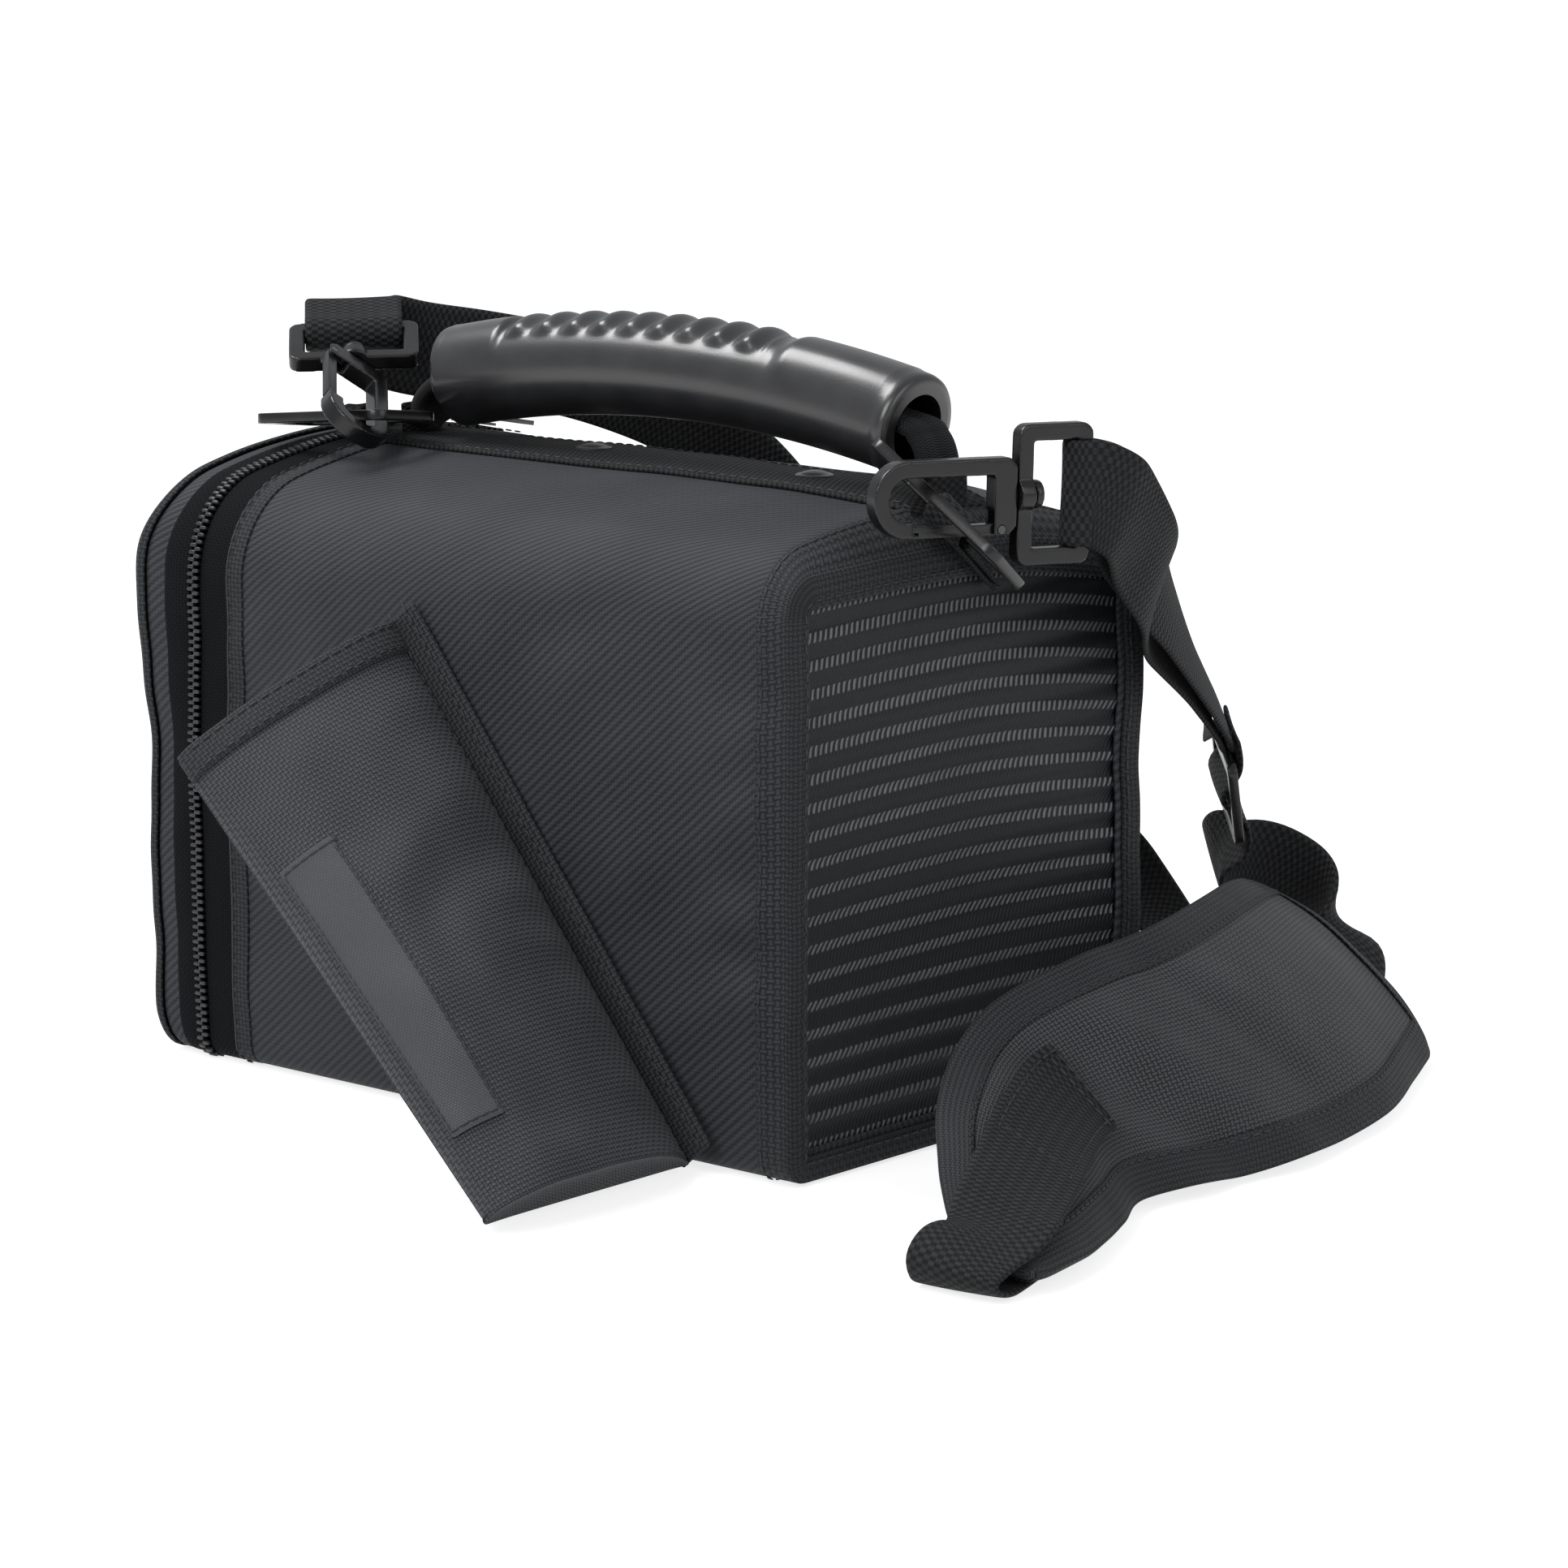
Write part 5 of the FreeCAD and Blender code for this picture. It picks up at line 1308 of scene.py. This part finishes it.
def label_place(u, v, over=0.45):
    return on_pouch(0.7 + 0.24 * u, 0.3 + 0.56 * v, over)


pocket = cloth_grid("pouch_pocket", 56, 96, pouch_place, (82, 172), pouch_cloth, thick=1.3, rounds=1)
settle(pocket, "pouch", "pouch_nylon", "pouch_body")
panel_back = cloth_grid("pouch_back_panel", 30, 60, back_place, (pouch_width, 150), pouch_cloth, thick=1.4,
                        offset=1, rounds=1)
settle(panel_back, "pouch", "pouch_nylon", "pouch_back")
hem = cloth_grid("pouch_hem_tape", 56, 8, hem_place, (76, 9), tape_cloth, thick=0.9, offset=0, rounds=1)
settle(hem, "pouch", "pouch_nylon", "pouch_hem")
for down, name in ((1.6, "upper"), (7.6, "lower")):
    line = [(on_pouch(0.03 + 0.94 * i / 120, down / pouch_height, 1.2), pouch_out) for i in range(121)]
    settle(stitches("hem_stitches_" + name, line), "pouch", "pouch_nylon")
edge = cloth_grid("pouch_edge_tape", 10, 90, edge_place, (11, pouch_height), tape_cloth, thick=1.0, offset=0,
                  rounds=1)
settle(edge, "pouch", "pouch_nylon", "pouch_binding")
for share, name in ((0.3, "inner"), (0.78, "outer")):
    line = [(edge_place(share, i / 150) + V(-0.75, 0, 0), V(-1, 0, 0)) for i in range(151)]
    settle(stitches("edge_stitches_" + name, line), "pouch", "pouch_nylon")
label = cloth_grid("plain_label_patch", 14, 40, label_place, (19, 84), label_cloth, thick=0.4, offset=0,
                   rounds=1)
settle(label, "pouch", "label", "pouch_label")
corners = ((0.04, 0.02), (0.96, 0.02), (0.96, 0.98), (0.04, 0.98), (0.04, 0.02))
line = []
for (u0, v0), (u1, v1) in zip(corners, corners[1:]):
    for i in range(40):
        line.append((label_place(u0 + (u1 - u0) * i / 40, v0 + (v1 - v0) * i / 40, 0.75), pouch_out))
settle(stitches("label_stitches", line, pitch=2.6), "pouch", "label")

for node, mat in (("lid_board", board_plastic), ("gate_pin_front", dark_metal), ("gate_pin_rear", dark_metal)):
    paint(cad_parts[node], mat)

bpy.context.view_layer.update()
